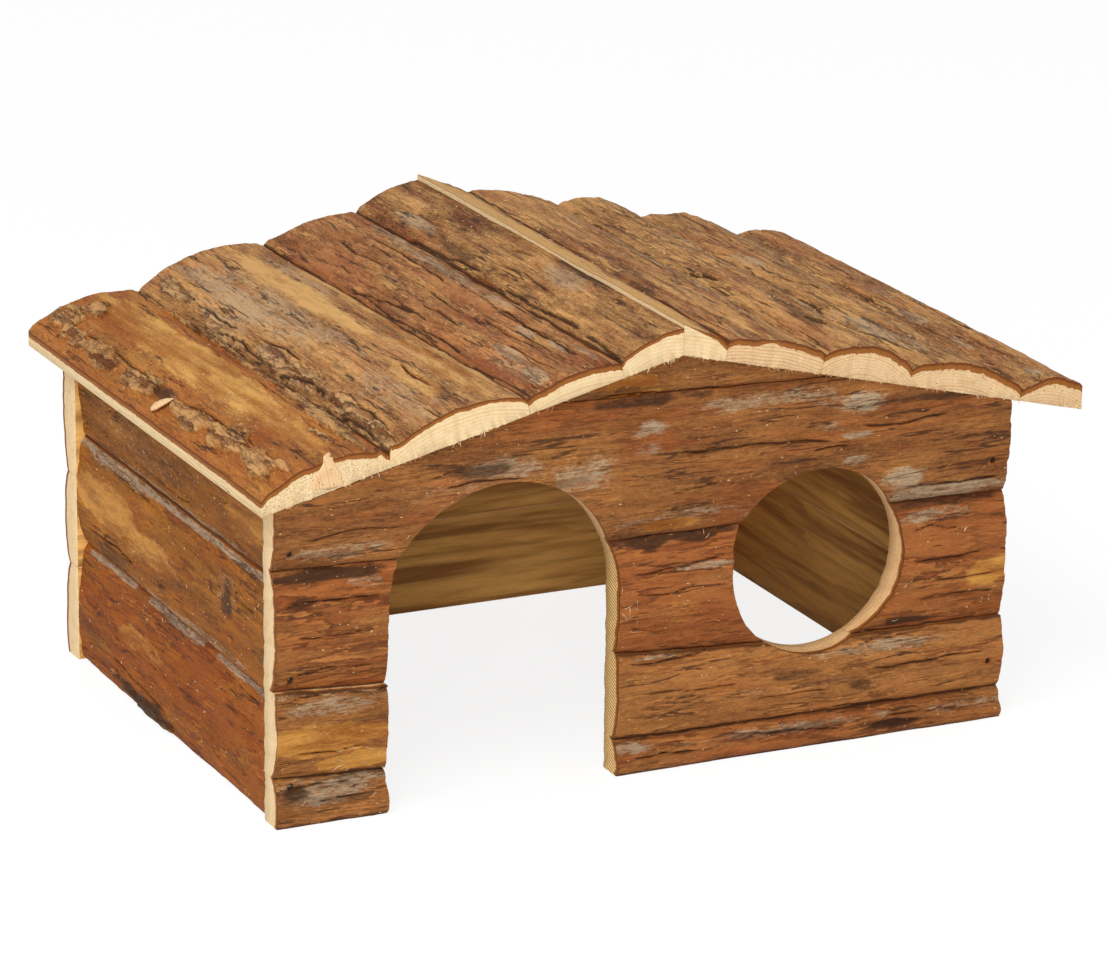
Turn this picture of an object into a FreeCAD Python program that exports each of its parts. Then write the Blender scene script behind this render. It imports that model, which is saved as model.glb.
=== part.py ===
"""A rustic house for a hamster, glued up from half-round slabs of bark-covered wood.

Four low walls of edge-glued slabs stand on the ground around an open-bottomed room.  The front and
back walls cover the ends of the side walls.  Nine slabs that run from front to back make a low
gable roof, which reaches past the walls at the right and at the back.  Thin brads hold the corners
and the roof.  Nothing moves.

While the model is built, X runs along the front wall from its left outer corner, Y runs back from
the front of the house and Z runs up from the ground.  The finished pieces are moved so that the
origin is on the ground, under the middle of the whole.
"""
import FreeCAD, Part
import math
import os

# ---------------------------------------------------------------- driving dimensions, millimetres

# The front wall from left to right.
LEFT_PIER = 35.4
DOOR_WIDTH = 73.8
MIDDLE_PIER = 37.3
WINDOW_DIAMETER = 58.0
RIGHT_PIER = 35.5

# Openings, measured up from the ground.
DOOR_HEIGHT = 96.6
WINDOW_CENTRE_HEIGHT = 58.9

# The wall box.
WALL_DEPTH = 173.8
WALL_THICKNESS = 10.4

# The roof.
RIDGE_FROM_LEFT = 128.7
EAVE_HEIGHT_LEFT = 96.8
SLOPE_LEFT_DEGREES = 13.8
SLOPE_RIGHT_DEGREES = 13.5
EAVE_OVERHANG_LEFT = 4.5
EAVE_OVERHANG_RIGHT = 24.3
ROOF_OVERHANG_BACK = 18.1

# Heights of the seams between the slabs of the front wall: at the left end, at the two sides of
# the door, under the middle of the window and at the right end.
FRONT_LOW_SEAM = (15.3, 13.4, 11.3, 10.1, 9.9)
FRONT_MIDDLE_SEAM = (41.6, 39.3, 37.7, 33.3, 32.5)
FRONT_HIGH_SEAM = (78.5, 77.2, 73.3, 73.2, 72.9)

# Seam heights of the other walls: at the left and right end, or at the front and back end.
BACK_LOW_SEAM = (30.8, 30.4)
BACK_HIGH_SEAM = (60.2, 59.4)
LEFT_LOW_SEAM = (37.5, 38.4)
LEFT_HIGH_SEAM = (73.0, 73.6)
RIGHT_LOW_SEAM = (38.9, 38.2)
RIGHT_HIGH_SEAM = (73.4, 74.4)

# How far the seam under each small gable cap lies below the ridge, at the wall's two ends.
FRONT_CAP_SEAM_DROP = (8.4, 14.6)
BACK_CAP_SEAM_DROP = (22.0, 21.0)

# How far the bark of each wall slab stays behind the outermost bark: at its lower edge, at the
# middle of its height and at its upper edge.
FRONT_BOTTOM_HOLLOW = (1.1, 0.7, 4.6)
FRONT_MIDDLE_HOLLOW = (3.0, 0.2, 2.1)
FRONT_UPPER_HOLLOW = (3.6, 0.3, 4.0)
FRONT_GABLE_HOLLOW = (3.2, 0.1, 2.4)
FRONT_CAP_HOLLOW = (3.0, 1.4, 3.2)
BACK_BOTTOM_HOLLOW = (1.6, 0.4, 3.4)
BACK_MIDDLE_HOLLOW = (3.4, 0.2, 3.0)
BACK_GABLE_HOLLOW = (3.0, 0.1, 3.2)
BACK_CAP_HOLLOW = (3.2, 0.6, 2.8)
LEFT_BOTTOM_HOLLOW = (1.8, 0.2, 3.4)
LEFT_MIDDLE_HOLLOW = (3.2, 0.1, 3.0)
LEFT_TOP_HOLLOW = (3.4, 0.6, 1.2)
RIGHT_BOTTOM_HOLLOW = (2.0, 0.1, 3.2)
RIGHT_MIDDLE_HOLLOW = (3.4, 0.3, 3.4)
RIGHT_TOP_HOLLOW = (3.0, 0.4, 1.6)

# Widths of the roof slabs along the slope, at the front and at the back.  On each side the slabs
# are counted from the ridge, and the widest one closes the space that the others leave.
LEFT_ROOF_1_WIDTH = (19.6, 20.8)
LEFT_ROOF_2_WIDTH = (31.2, 33.2)
LEFT_EAVE_WIDTH = (41.7, 39.1)
RIGHT_ROOF_1_WIDTH = (14.1, 16.6)
RIGHT_ROOF_2_WIDTH = (32.6, 32.6)
RIGHT_ROOF_3_WIDTH = (30.7, 30.7)
RIGHT_EAVE_WIDTH = (22.7, 23.7)

# Thicknesses of the roof slabs: at the edge nearer the ridge, in the middle and at the edge nearer
# the eave.
LEFT_ROOF_1_THICKNESS = (7.3, 8.2, 4.5)
LEFT_ROOF_2_THICKNESS = (4.8, 6.9, 4.6)
LEFT_ROOF_3_THICKNESS = (4.8, 10.0, 4.4)
LEFT_ROOF_4_THICKNESS = (4.5, 9.3, 5.0)
RIGHT_ROOF_1_THICKNESS = (9.9, 8.4, 5.6)
RIGHT_ROOF_2_THICKNESS = (6.4, 8.3, 6.2)
RIGHT_ROOF_3_THICKNESS = (5.6, 10.5, 4.9)
RIGHT_ROOF_4_THICKNESS = (4.9, 9.6, 3.8)
RIGHT_ROOF_5_THICKNESS = (3.4, 8.2, 7.6)

# Brads.  They stand in close-fitting holes, and the bark closes over their sunk heads.
BRAD_DIAMETER = 1.5
BRAD_LENGTH = 20.0
BRAD_SINK = 4.0
BRAD_CLEARANCE = 0.05
LEFT_BRAD_HEIGHTS = (12.0, 45.0, 83.0)
RIGHT_BRAD_HEIGHTS = (19.0, 45.0, 83.0)

# --------------------------------------------------------------------------- sizes that follow

DOOR_LEFT = LEFT_PIER
DOOR_RIGHT = DOOR_LEFT + DOOR_WIDTH
DOOR_CENTRE = DOOR_LEFT + DOOR_WIDTH / 2
WINDOW_CENTRE = DOOR_RIGHT + MIDDLE_PIER + WINDOW_DIAMETER / 2
WALL_WIDTH = WINDOW_CENTRE + WINDOW_DIAMETER / 2 + RIGHT_PIER

SLOPE_LEFT = math.radians(SLOPE_LEFT_DEGREES)
SLOPE_RIGHT = math.radians(SLOPE_RIGHT_DEGREES)
RIDGE_HEIGHT = EAVE_HEIGHT_LEFT + RIDGE_FROM_LEFT * math.tan(SLOPE_LEFT)
ROOF_LEFT = -EAVE_OVERHANG_LEFT
ROOF_RIGHT = WALL_WIDTH + EAVE_OVERHANG_RIGHT
ROOF_DEPTH = WALL_DEPTH + ROOF_OVERHANG_BACK
SLOPE_LENGTH_LEFT = (RIDGE_FROM_LEFT - ROOF_LEFT) / math.cos(SLOPE_LEFT)
SLOPE_LENGTH_RIGHT = (ROOF_RIGHT - RIDGE_FROM_LEFT) / math.cos(SLOPE_RIGHT)

FRONT_STATIONS = (0.0, DOOR_LEFT, DOOR_RIGHT, WINDOW_CENTRE, WALL_WIDTH)
BACK_STATIONS = (0.0, WALL_WIDTH)
SIDE_STATIONS = (WALL_THICKNESS, WALL_DEPTH - WALL_THICKNESS)
ROOF_STATIONS = (0.0, ROOF_DEPTH)

# How far outside a slab's edges the arch of its bark springs, and how far cutting shapes run past
# what they cut.
ARCH_MARGIN = 1.0
PAST = 5.0


# ------------------------------------------------------------------- where a slab lies in the house
# A slab has a length position u, a width position v and a height w over its flat sawn face.

def front_wall(u, v, w):
    """Length to the right, width upwards, bark towards the front."""
    return FreeCAD.Vector(u, WALL_THICKNESS - w, v)


def back_wall(u, v, w):
    """Length to the right, width upwards, bark towards the back."""
    return FreeCAD.Vector(u, WALL_DEPTH - WALL_THICKNESS + w, v)


def left_wall(u, v, w):
    """Length to the back, width upwards, bark towards the left."""
    return FreeCAD.Vector(WALL_THICKNESS - w, u, v)


def right_wall(u, v, w):
    """Length to the back, width upwards, bark towards the right."""
    return FreeCAD.Vector(WALL_WIDTH - WALL_THICKNESS + w, u, v)


def left_roof(u, v, w):
    """Length to the back, width from the ridge down the left slope, bark upwards."""
    x = RIDGE_FROM_LEFT - v * math.cos(SLOPE_LEFT) - w * math.sin(SLOPE_LEFT)
    z = RIDGE_HEIGHT - v * math.sin(SLOPE_LEFT) + w * math.cos(SLOPE_LEFT)
    return FreeCAD.Vector(x, u, z)


def right_roof(u, v, w):
    """Length to the back, width from the ridge down the right slope, bark upwards."""
    x = RIDGE_FROM_LEFT + v * math.cos(SLOPE_RIGHT) + w * math.sin(SLOPE_RIGHT)
    z = RIDGE_HEIGHT - v * math.sin(SLOPE_RIGHT) + w * math.cos(SLOPE_RIGHT)
    return FreeCAD.Vector(x, u, z)


# ------------------------------------------------------------------------------- building blocks

def between(u, stations, values):
    """The value at u on the broken line through the values at the stations."""
    for i in range(len(stations) - 2):
        if u <= stations[i + 1]:
            break
    else:
        i = len(stations) - 2
    share = (u - stations[i]) / (stations[i + 1] - stations[i])
    return values[i] + share * (values[i + 1] - values[i])


def log_section(u, low, high, thickness, place):
    """Outline of a log at u: an arch that springs just outside the slab's two edges."""
    low_edge, crown, high_edge = thickness
    low -= ARCH_MARGIN
    high += ARCH_MARGIN
    deep_low = place(u, low, -PAST)
    deep_high = place(u, high, -PAST)
    bark_high = place(u, high, high_edge)
    bark_middle = place(u, (low + high) / 2, crown)
    bark_low = place(u, low, low_edge)
    return Part.Wire([
        Part.LineSegment(deep_low, deep_high).toShape(),
        Part.LineSegment(deep_high, bark_high).toShape(),
        Part.Arc(bark_high, bark_middle, bark_low).toShape(),
        Part.LineSegment(bark_low, deep_low).toShape(),
    ])


def slab(stations, lows, highs, thickness, place):
    """A half-round slab: the outline of its flat face raised to a blank, rounded by the log."""
    lower_edge = [place(u, v, 0) for u, v in zip(stations, lows)]
    upper_edge = [place(u, v, 0) for u, v in zip(stations, highs)]
    corners = lower_edge + upper_edge[::-1]
    rise = place(0, 0, max(thickness) + PAST) - place(0, 0, 0)
    blank = Part.Face(Part.makePolygon(corners + corners[:1])).extrude(rise)
    reach = (stations[0] - PAST, *stations[1:-1], stations[-1] + PAST)
    sections = [
        log_section(u, low, high, thickness, place)
        for u, low, high in zip(reach, lows, highs)
    ]
    return blank.common(Part.makeLoft(sections, True, True))


def block(x_range, y_range, z_range):
    """A rectangular block between two limits on each axis."""
    size = [high - low for low, high in (x_range, y_range, z_range)]
    return Part.makeBox(*size, FreeCAD.Vector(x_range[0], y_range[0], z_range[0]))


def wall_thickness(hollow):
    """Slab thickness from how far its bark stays behind the outermost bark."""
    return tuple(WALL_THICKNESS - part for part in hollow)


def under_roof():
    """The space below the flat faces of the roof slabs, a little longer than the walls."""
    left = -PAST
    right = WALL_WIDTH + PAST
    ridge = RIDGE_HEIGHT
    corners = [
        (left, -PAST),
        (right, -PAST),
        (right, ridge - (right - RIDGE_FROM_LEFT) * math.tan(SLOPE_RIGHT)),
        (RIDGE_FROM_LEFT, ridge),
        (left, ridge - (RIDGE_FROM_LEFT - left) * math.tan(SLOPE_LEFT)),
    ]
    points = [FreeCAD.Vector(x, -PAST, z) for x, z in corners]
    outline = Part.makePolygon(points + points[:1])
    return Part.Face(outline).extrude(FreeCAD.Vector(0, WALL_DEPTH + 2 * PAST, 0))


def door():
    """The doorway: straight sides up from the ground and a half-round top, through the wall."""
    y_range = (-PAST, WALL_THICKNESS + PAST)
    radius = DOOR_WIDTH / 2
    spring = DOOR_HEIGHT - radius
    straight = block((DOOR_LEFT, DOOR_RIGHT), y_range, (-PAST, spring))
    start = FreeCAD.Vector(DOOR_CENTRE, y_range[0], spring)
    arch = Part.makeCylinder(radius, y_range[1] - y_range[0], start, FreeCAD.Vector(0, 1, 0))
    return straight.fuse(arch)


def window():
    """The round window through the front wall."""
    start = FreeCAD.Vector(WINDOW_CENTRE, -PAST, WINDOW_CENTRE_HEIGHT)
    length = WALL_THICKNESS + 2 * PAST
    return Part.makeCylinder(WINDOW_DIAMETER / 2, length, start, FreeCAD.Vector(0, 1, 0))


# ------------------------------------------------------------------------------------------ walls

def front_slab(lows, highs, hollow, start=0.0, end=WALL_WIDTH):
    """A slab of the front wall between two seams, from start to end, with its openings cut."""
    inner = [u for u in FRONT_STATIONS if start < u < end]
    stations = [start] + inner + [end]
    shape = slab(
        stations,
        [between(u, FRONT_STATIONS, lows) for u in stations],
        [between(u, FRONT_STATIONS, highs) for u in stations],
        wall_thickness(hollow),
        front_wall,
    )
    return shape.common(under_roof()).cut(door()).cut(window())


def front_wall_boards():
    """Three courses that the door and the window part, the gable board and the small gable cap."""
    ground = [0.0] * len(FRONT_STATIONS)
    cap_seam = [
        RIDGE_HEIGHT - between(u, BACK_STATIONS, FRONT_CAP_SEAM_DROP)
        for u in FRONT_STATIONS
    ]
    over_ridge = [RIDGE_HEIGHT + PAST] * len(FRONT_STATIONS)
    bottom = (ground, FRONT_LOW_SEAM, FRONT_BOTTOM_HOLLOW)
    middle = (FRONT_LOW_SEAM, FRONT_MIDDLE_SEAM, FRONT_MIDDLE_HOLLOW)
    upper = (FRONT_MIDDLE_SEAM, FRONT_HIGH_SEAM, FRONT_UPPER_HOLLOW)
    boards = {
        "front_bottom_board_left": front_slab(*bottom, end=DOOR_CENTRE),
        "front_bottom_board_right": front_slab(*bottom, start=DOOR_CENTRE),
        "front_middle_board_left": front_slab(*middle, end=DOOR_CENTRE),
        "front_middle_board_right": front_slab(*middle, start=DOOR_CENTRE),
        "front_upper_board_left": front_slab(*upper, end=DOOR_CENTRE),
        "front_upper_board_centre": front_slab(*upper, start=DOOR_CENTRE, end=WINDOW_CENTRE),
        "front_upper_board_right": front_slab(*upper, start=WINDOW_CENTRE),
    }
    boards["front_gable_board"] = front_slab(FRONT_HIGH_SEAM, cap_seam, FRONT_GABLE_HOLLOW)
    boards["front_gable_cap"] = front_slab(cap_seam, over_ridge, FRONT_CAP_HOLLOW)
    return boards


def plain_wall_boards(stations, seams, hollows, place):
    """The slabs of a wall with no opening, from the ground up to the roof."""
    ground = [0.0] * len(stations)
    over_roof = [RIDGE_HEIGHT + PAST] * len(stations)
    lines = [ground] + list(seams) + [over_roof]
    boards = {}
    for (name, hollow), lows, highs in zip(hollows.items(), lines, lines[1:]):
        shape = slab(stations, lows, highs, wall_thickness(hollow), place)
        boards[name] = shape.common(under_roof())
    return boards


def back_wall_boards():
    """Two courses, the gable board over them and its cap, with no opening."""
    hollows = {
        "back_bottom_board": BACK_BOTTOM_HOLLOW,
        "back_middle_board": BACK_MIDDLE_HOLLOW,
        "back_gable_board": BACK_GABLE_HOLLOW,
        "back_gable_cap": BACK_CAP_HOLLOW,
    }
    cap_seam = [RIDGE_HEIGHT - drop for drop in BACK_CAP_SEAM_DROP]
    seams = (BACK_LOW_SEAM, BACK_HIGH_SEAM, cap_seam)
    return plain_wall_boards(BACK_STATIONS, seams, hollows, back_wall)


def left_wall_boards():
    """Three courses between the front and the back wall."""
    hollows = {
        "left_wall_bottom_board": LEFT_BOTTOM_HOLLOW,
        "left_wall_middle_board": LEFT_MIDDLE_HOLLOW,
        "left_wall_top_board": LEFT_TOP_HOLLOW,
    }
    seams = (LEFT_LOW_SEAM, LEFT_HIGH_SEAM)
    return plain_wall_boards(SIDE_STATIONS, seams, hollows, left_wall)


def right_wall_boards():
    """Three courses between the front and the back wall."""
    hollows = {
        "right_wall_bottom_board": RIGHT_BOTTOM_HOLLOW,
        "right_wall_middle_board": RIGHT_MIDDLE_HOLLOW,
        "right_wall_top_board": RIGHT_TOP_HOLLOW,
    }
    seams = (RIGHT_LOW_SEAM, RIGHT_HIGH_SEAM)
    return plain_wall_boards(SIDE_STATIONS, seams, hollows, right_wall)


# ------------------------------------------------------------------------------------------- roof

def roof_lines(widths, eave_width, slope_length):
    """Slab limits on one slope, from the ridge to the eave, as pairs for the front and the back."""
    lines = [(0.0, 0.0)]
    for front, back in widths:
        last_front, last_back = lines[-1]
        lines.append((last_front + front, last_back + back))
    lines.append((slope_length - eave_width[0], slope_length - eave_width[1]))
    lines.append((slope_length, slope_length))
    return lines


LEFT_ROOF_LINES = roof_lines(
    (LEFT_ROOF_1_WIDTH, LEFT_ROOF_2_WIDTH),
    LEFT_EAVE_WIDTH,
    SLOPE_LENGTH_LEFT,
)
RIGHT_ROOF_LINES = roof_lines(
    (RIGHT_ROOF_1_WIDTH, RIGHT_ROOF_2_WIDTH, RIGHT_ROOF_3_WIDTH),
    RIGHT_EAVE_WIDTH,
    SLOPE_LENGTH_RIGHT,
)
LEFT_ROOF_THICKNESSES = (
    LEFT_ROOF_1_THICKNESS,
    LEFT_ROOF_2_THICKNESS,
    LEFT_ROOF_3_THICKNESS,
    LEFT_ROOF_4_THICKNESS,
)
RIGHT_ROOF_THICKNESSES = (
    RIGHT_ROOF_1_THICKNESS,
    RIGHT_ROOF_2_THICKNESS,
    RIGHT_ROOF_3_THICKNESS,
    RIGHT_ROOF_4_THICKNESS,
    RIGHT_ROOF_5_THICKNESS,
)


def roof_boards(side, lines, thicknesses, slope, x_range, place):
    """The slabs of one slope.  The ridge joint and the eave are upright, the other joints square."""
    height = (0.0, 2 * RIDGE_HEIGHT)
    space = block(x_range, (-PAST, ROOF_DEPTH + PAST), height)
    boards = {}
    for number, thickness in enumerate(thicknesses, start=1):
        lows = lines[number - 1]
        highs = lines[number]
        if number == 1:
            over = thickness[0] * math.tan(slope)
            lows = (-over, -over)
        shape = slab(ROOF_STATIONS, lows, highs, thickness, place)
        boards[f"{side}_roof_board_{number}"] = shape.common(space)
    return boards


def all_roof_boards():
    """Both slopes."""
    left = roof_boards(
        "left", LEFT_ROOF_LINES, LEFT_ROOF_THICKNESSES, SLOPE_LEFT,
        (ROOF_LEFT, RIDGE_FROM_LEFT), left_roof,
    )
    right = roof_boards(
        "right", RIGHT_ROOF_LINES, RIGHT_ROOF_THICKNESSES, SLOPE_RIGHT,
        (RIDGE_FROM_LEFT, ROOF_RIGHT), right_roof,
    )
    return left | right


# ------------------------------------------------------------------------------------------ brads

def pin(start, direction, length, radius):
    """A round pin from a start point along a direction."""
    return Part.makeCylinder(radius, length, start, direction)


def corner_brads(extra=0.0):
    """Brads through the front and back wall into the ends of the side walls, as two lists."""
    columns = (
        (WALL_THICKNESS / 2, LEFT_BRAD_HEIGHTS),
        (WALL_WIDTH - WALL_THICKNESS / 2, RIGHT_BRAD_HEIGHTS),
    )
    radius = BRAD_DIAMETER / 2 + extra
    front = []
    back = []
    for x, heights in columns:
        for z in heights:
            front_head = FreeCAD.Vector(x, BRAD_SINK, z)
            back_head = FreeCAD.Vector(x, WALL_DEPTH - BRAD_SINK, z)
            front.append(pin(front_head, FreeCAD.Vector(0, 1, 0), BRAD_LENGTH, radius))
            back.append(pin(back_head, FreeCAD.Vector(0, -1, 0), BRAD_LENGTH, radius))
    return front, back


def roof_brads(extra=0.0):
    """Brads through each roof slab into the edge of the front and back wall, as two lists."""
    radius = BRAD_DIAMETER / 2 + extra
    slopes = (
        (LEFT_ROOF_LINES, LEFT_ROOF_THICKNESSES, left_roof),
        (RIGHT_ROOF_LINES, RIGHT_ROOF_THICKNESSES, right_roof),
    )
    rows = []
    for y in (WALL_THICKNESS / 2, WALL_DEPTH - WALL_THICKNESS / 2):
        row = []
        for lines, thicknesses, place in slopes:
            for lows, highs, thickness in zip(lines, lines[1:], thicknesses):
                low = between(y, ROOF_STATIONS, lows)
                high = between(y, ROOF_STATIONS, highs)
                middle = (low + high) / 2
                head = place(y, middle, thickness[1] - BRAD_SINK)
                tip = place(y, middle, thickness[1] - BRAD_SINK - BRAD_LENGTH)
                if 0 < tip.x < WALL_WIDTH:
                    row.append(pin(head, tip - head, BRAD_LENGTH, radius))
        rows.append(row)
    return rows


# -------------------------------------------------------------------------------------- the house

def make_house():
    """All pieces by name: slabs with their brad holes, and the brads in four groups."""
    boards = front_wall_boards() | back_wall_boards() | left_wall_boards() | right_wall_boards()
    boards |= all_roof_boards()
    hole_rows = [*corner_brads(BRAD_CLEARANCE), *roof_brads(BRAD_CLEARANCE)]
    holes = [hole for row in hole_rows for hole in row]
    pieces = {}
    for name, board in boards.items():
        near = [hole for hole in holes if hole.BoundBox.intersect(board.BoundBox)]
        pieces[name] = board.cut(near) if near else board
    front_corner, back_corner = corner_brads()
    front_roof, back_roof = roof_brads()
    pieces["front_corner_brads"] = Part.makeCompound(front_corner)
    pieces["back_corner_brads"] = Part.makeCompound(back_corner)
    pieces["front_roof_brads"] = Part.makeCompound(front_roof)
    pieces["back_roof_brads"] = Part.makeCompound(back_roof)
    return pieces


def main():
    """Move every piece to the part's own origin and write it."""
    os.makedirs("parts", exist_ok=True)
    middle = FreeCAD.Vector((ROOF_LEFT + ROOF_RIGHT) / 2, ROOF_DEPTH / 2, 0)
    for name, shape in make_house().items():
        shape.translate(-middle)
        solids = shape.Solids
        piece = solids[0] if len(solids) == 1 else Part.makeCompound(solids)
        print(f"{name:28s} {len(solids):2d} {piece.Volume / 1000:8.2f} cm3  valid {piece.isValid()}")
        piece.exportStep(os.path.join("parts", name + ".step"))


main()
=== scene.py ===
"""The dressed model of a rustic hamster house glued up from half-round slabs of bark-covered wood.

Every slab is one closed mesh: a bark surface on a fine grid, its sawn ends and edges, and its flat
inner face.  A point of a slab has a length position u, a width position v and a height w over the
flat face, all in millimetres, and a place function puts it where the slab is in the house.  The
bark's furrows, flakes, knots and bare places are worked out as heights and as masks, and the masks
go with the mesh as attributes that the materials read.
"""
import math

import bpy
import mathutils
import numpy as np
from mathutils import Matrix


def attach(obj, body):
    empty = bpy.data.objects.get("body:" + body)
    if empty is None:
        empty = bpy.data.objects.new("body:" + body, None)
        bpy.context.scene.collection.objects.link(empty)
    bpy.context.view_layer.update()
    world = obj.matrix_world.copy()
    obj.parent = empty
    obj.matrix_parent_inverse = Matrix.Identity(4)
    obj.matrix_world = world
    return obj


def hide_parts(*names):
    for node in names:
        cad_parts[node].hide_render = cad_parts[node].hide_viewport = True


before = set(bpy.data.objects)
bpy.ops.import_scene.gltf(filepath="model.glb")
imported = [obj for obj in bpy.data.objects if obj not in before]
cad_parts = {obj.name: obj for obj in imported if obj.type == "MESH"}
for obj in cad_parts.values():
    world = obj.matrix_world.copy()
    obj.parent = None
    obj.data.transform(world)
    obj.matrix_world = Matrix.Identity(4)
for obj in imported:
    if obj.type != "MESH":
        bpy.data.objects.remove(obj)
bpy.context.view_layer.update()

# ------------------------------------------------------------------- the house's sizes, millimetres

LEFT_PIER = 35.4
DOOR_WIDTH = 73.8
MIDDLE_PIER = 37.3
WINDOW_DIAMETER = 58.0
RIGHT_PIER = 35.5
DOOR_HEIGHT = 96.6
WINDOW_CENTRE_HEIGHT = 58.9
WALL_DEPTH = 173.8
WALL_THICKNESS = 10.4
RIDGE_FROM_LEFT = 128.7
EAVE_HEIGHT_LEFT = 96.8
SLOPE_LEFT = math.radians(13.8)
SLOPE_RIGHT = math.radians(13.5)
EAVE_OVERHANG_LEFT = 4.5
EAVE_OVERHANG_RIGHT = 24.3
ROOF_OVERHANG_BACK = 18.1

DOOR_LEFT = LEFT_PIER
DOOR_RIGHT = DOOR_LEFT + DOOR_WIDTH
DOOR_CENTRE = DOOR_LEFT + DOOR_WIDTH / 2
DOOR_RADIUS = DOOR_WIDTH / 2
DOOR_SPRING = DOOR_HEIGHT - DOOR_RADIUS
WINDOW_RADIUS = WINDOW_DIAMETER / 2
WINDOW_CENTRE = DOOR_RIGHT + MIDDLE_PIER + WINDOW_RADIUS
WALL_WIDTH = WINDOW_CENTRE + WINDOW_RADIUS + RIGHT_PIER
RIDGE_HEIGHT = EAVE_HEIGHT_LEFT + RIDGE_FROM_LEFT * math.tan(SLOPE_LEFT)
ROOF_LEFT = -EAVE_OVERHANG_LEFT
ROOF_RIGHT = WALL_WIDTH + EAVE_OVERHANG_RIGHT
ROOF_DEPTH = WALL_DEPTH + ROOF_OVERHANG_BACK
SLOPE_LENGTH_LEFT = (RIDGE_FROM_LEFT - ROOF_LEFT) / math.cos(SLOPE_LEFT)
SLOPE_LENGTH_RIGHT = (ROOF_RIGHT - RIDGE_FROM_LEFT) / math.cos(SLOPE_RIGHT)
MIDDLE = np.array([(ROOF_LEFT + ROOF_RIGHT) / 2, ROOF_DEPTH / 2, 0.0])

FRONT_STATIONS = (0.0, DOOR_LEFT, DOOR_RIGHT, WINDOW_CENTRE, WALL_WIDTH)
BACK_STATIONS = (0.0, WALL_WIDTH)
SIDE_STATIONS = (WALL_THICKNESS, WALL_DEPTH - WALL_THICKNESS)
ROOF_STATIONS = (0.0, ROOF_DEPTH)

# How far the front cap's seam falls over the wall's width, the cap's width there, and what is taken
# off each pointed end of a cap.  The back cap's ends lie so far under the ridge.
FRONT_CAP_FALL = 6.2
FRONT_CAP_WIDTH = 97.0
CAP_TRIM = 1.0
BACK_CAP_LEFT_DROP = 21.9
BACK_CAP_RIGHT_DROP = 21.3

# Seams between the slabs: stations along the wall, heights there and a seed for their waver.
FRONT_GROUND = (FRONT_STATIONS, (0.0, 0.0, 0.0, 0.0, 0.0), None)
FRONT_LOW_SEAM = (FRONT_STATIONS, (15.3, 13.4, 11.3, 10.1, 9.9), 301)
FRONT_MIDDLE_SEAM = (FRONT_STATIONS, (41.6, 39.3, 37.7, 33.3, 32.5), 302)
FRONT_HIGH_SEAM = (FRONT_STATIONS, (78.5, 77.2, 73.3, 73.2, 72.9), 303)
FRONT_CAP_SEAM = (BACK_STATIONS, (RIDGE_HEIGHT - 8.4, RIDGE_HEIGHT - 14.6), 304)
BACK_GROUND = (BACK_STATIONS, (0.0, 0.0), None)
BACK_LOW_SEAM = (BACK_STATIONS, (30.8, 30.4), 305)
BACK_HIGH_SEAM = (BACK_STATIONS, (60.2, 59.4), 306)
BACK_CAP_SEAM = (BACK_STATIONS, (RIDGE_HEIGHT - 22.0, RIDGE_HEIGHT - 21.0), 307)
OVER_ROOF = (BACK_STATIONS, (RIDGE_HEIGHT + 5.0, RIDGE_HEIGHT + 5.0), None)
SIDE_GROUND = (SIDE_STATIONS, (0.0, 0.0), None)
LEFT_LOW_SEAM = (SIDE_STATIONS, (37.5, 38.4), 308)
LEFT_HIGH_SEAM = (SIDE_STATIONS, (73.0, 73.6), 309)
RIGHT_LOW_SEAM = (SIDE_STATIONS, (38.9, 38.2), 310)
RIGHT_HIGH_SEAM = (SIDE_STATIONS, (73.4, 74.4), 311)

# Widths of the roof slabs along the slope (front, back), counted from the ridge.
LEFT_ROOF_LINES = (
    (0.0, 0.0),
    (19.6, 20.8),
    (50.8, 54.0),
    (SLOPE_LENGTH_LEFT - 41.7, SLOPE_LENGTH_LEFT - 39.1),
    (SLOPE_LENGTH_LEFT, SLOPE_LENGTH_LEFT),
)
RIGHT_ROOF_LINES = (
    (0.0, 0.0),
    (14.1, 16.6),
    (46.7, 49.2),
    (77.4, 79.9),
    (SLOPE_LENGTH_RIGHT - 22.7, SLOPE_LENGTH_RIGHT - 23.7),
    (SLOPE_LENGTH_RIGHT, SLOPE_LENGTH_RIGHT),
)

# Grid spacing of the bark, the clearance kept at each joint, how far outside a slab's edges its arch
# has its edge heights, and the steps of the bark's grid to one step of the flat face.
FINE = 0.5
MEDIUM = 0.6
COARSE = 0.8
JOINT = 0.06
ARCH_MARGIN = 1.0
STRIDE = 4
QUICK_STEP = 1.0
SHARP_ANGLE = math.radians(62)

# A slab's parts in the order of its materials, and the parts at its low, far, high and near side.
PARTS = ("bark", "end", "edge", "inner", "start")
SIDE_PARTS = ("edge", "end", "edge", "start")

# First seed of the fibres that lie on the slabs, the next ones going to the next slabs.
FIBRE_SEED = 500

# Bark surfaces by slab name, as grids of points, for the loose fibres.
SURFACES = {}


# ---------------------------------------------------------------------------------------- places

def stacked(x, y, z):
    """Coordinates in building millimetres, moved to the part's origin and put in metres."""
    return (np.stack(np.broadcast_arrays(x, y, z), axis=-1) - MIDDLE) / 1000.0


def front_wall(u, v, w):
    """Length to the right, width upwards, bark towards the front."""
    return stacked(u, WALL_THICKNESS - w, v)


def back_wall(u, v, w):
    """Length to the right, width upwards, bark towards the back."""
    return stacked(u, WALL_DEPTH - WALL_THICKNESS + w, v)


def left_wall(u, v, w):
    """Length to the back, width upwards, bark towards the left."""
    return stacked(WALL_THICKNESS - w, u, v)


def right_wall(u, v, w):
    """Length to the back, width upwards, bark towards the right."""
    return stacked(WALL_WIDTH - WALL_THICKNESS + w, u, v)


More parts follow.
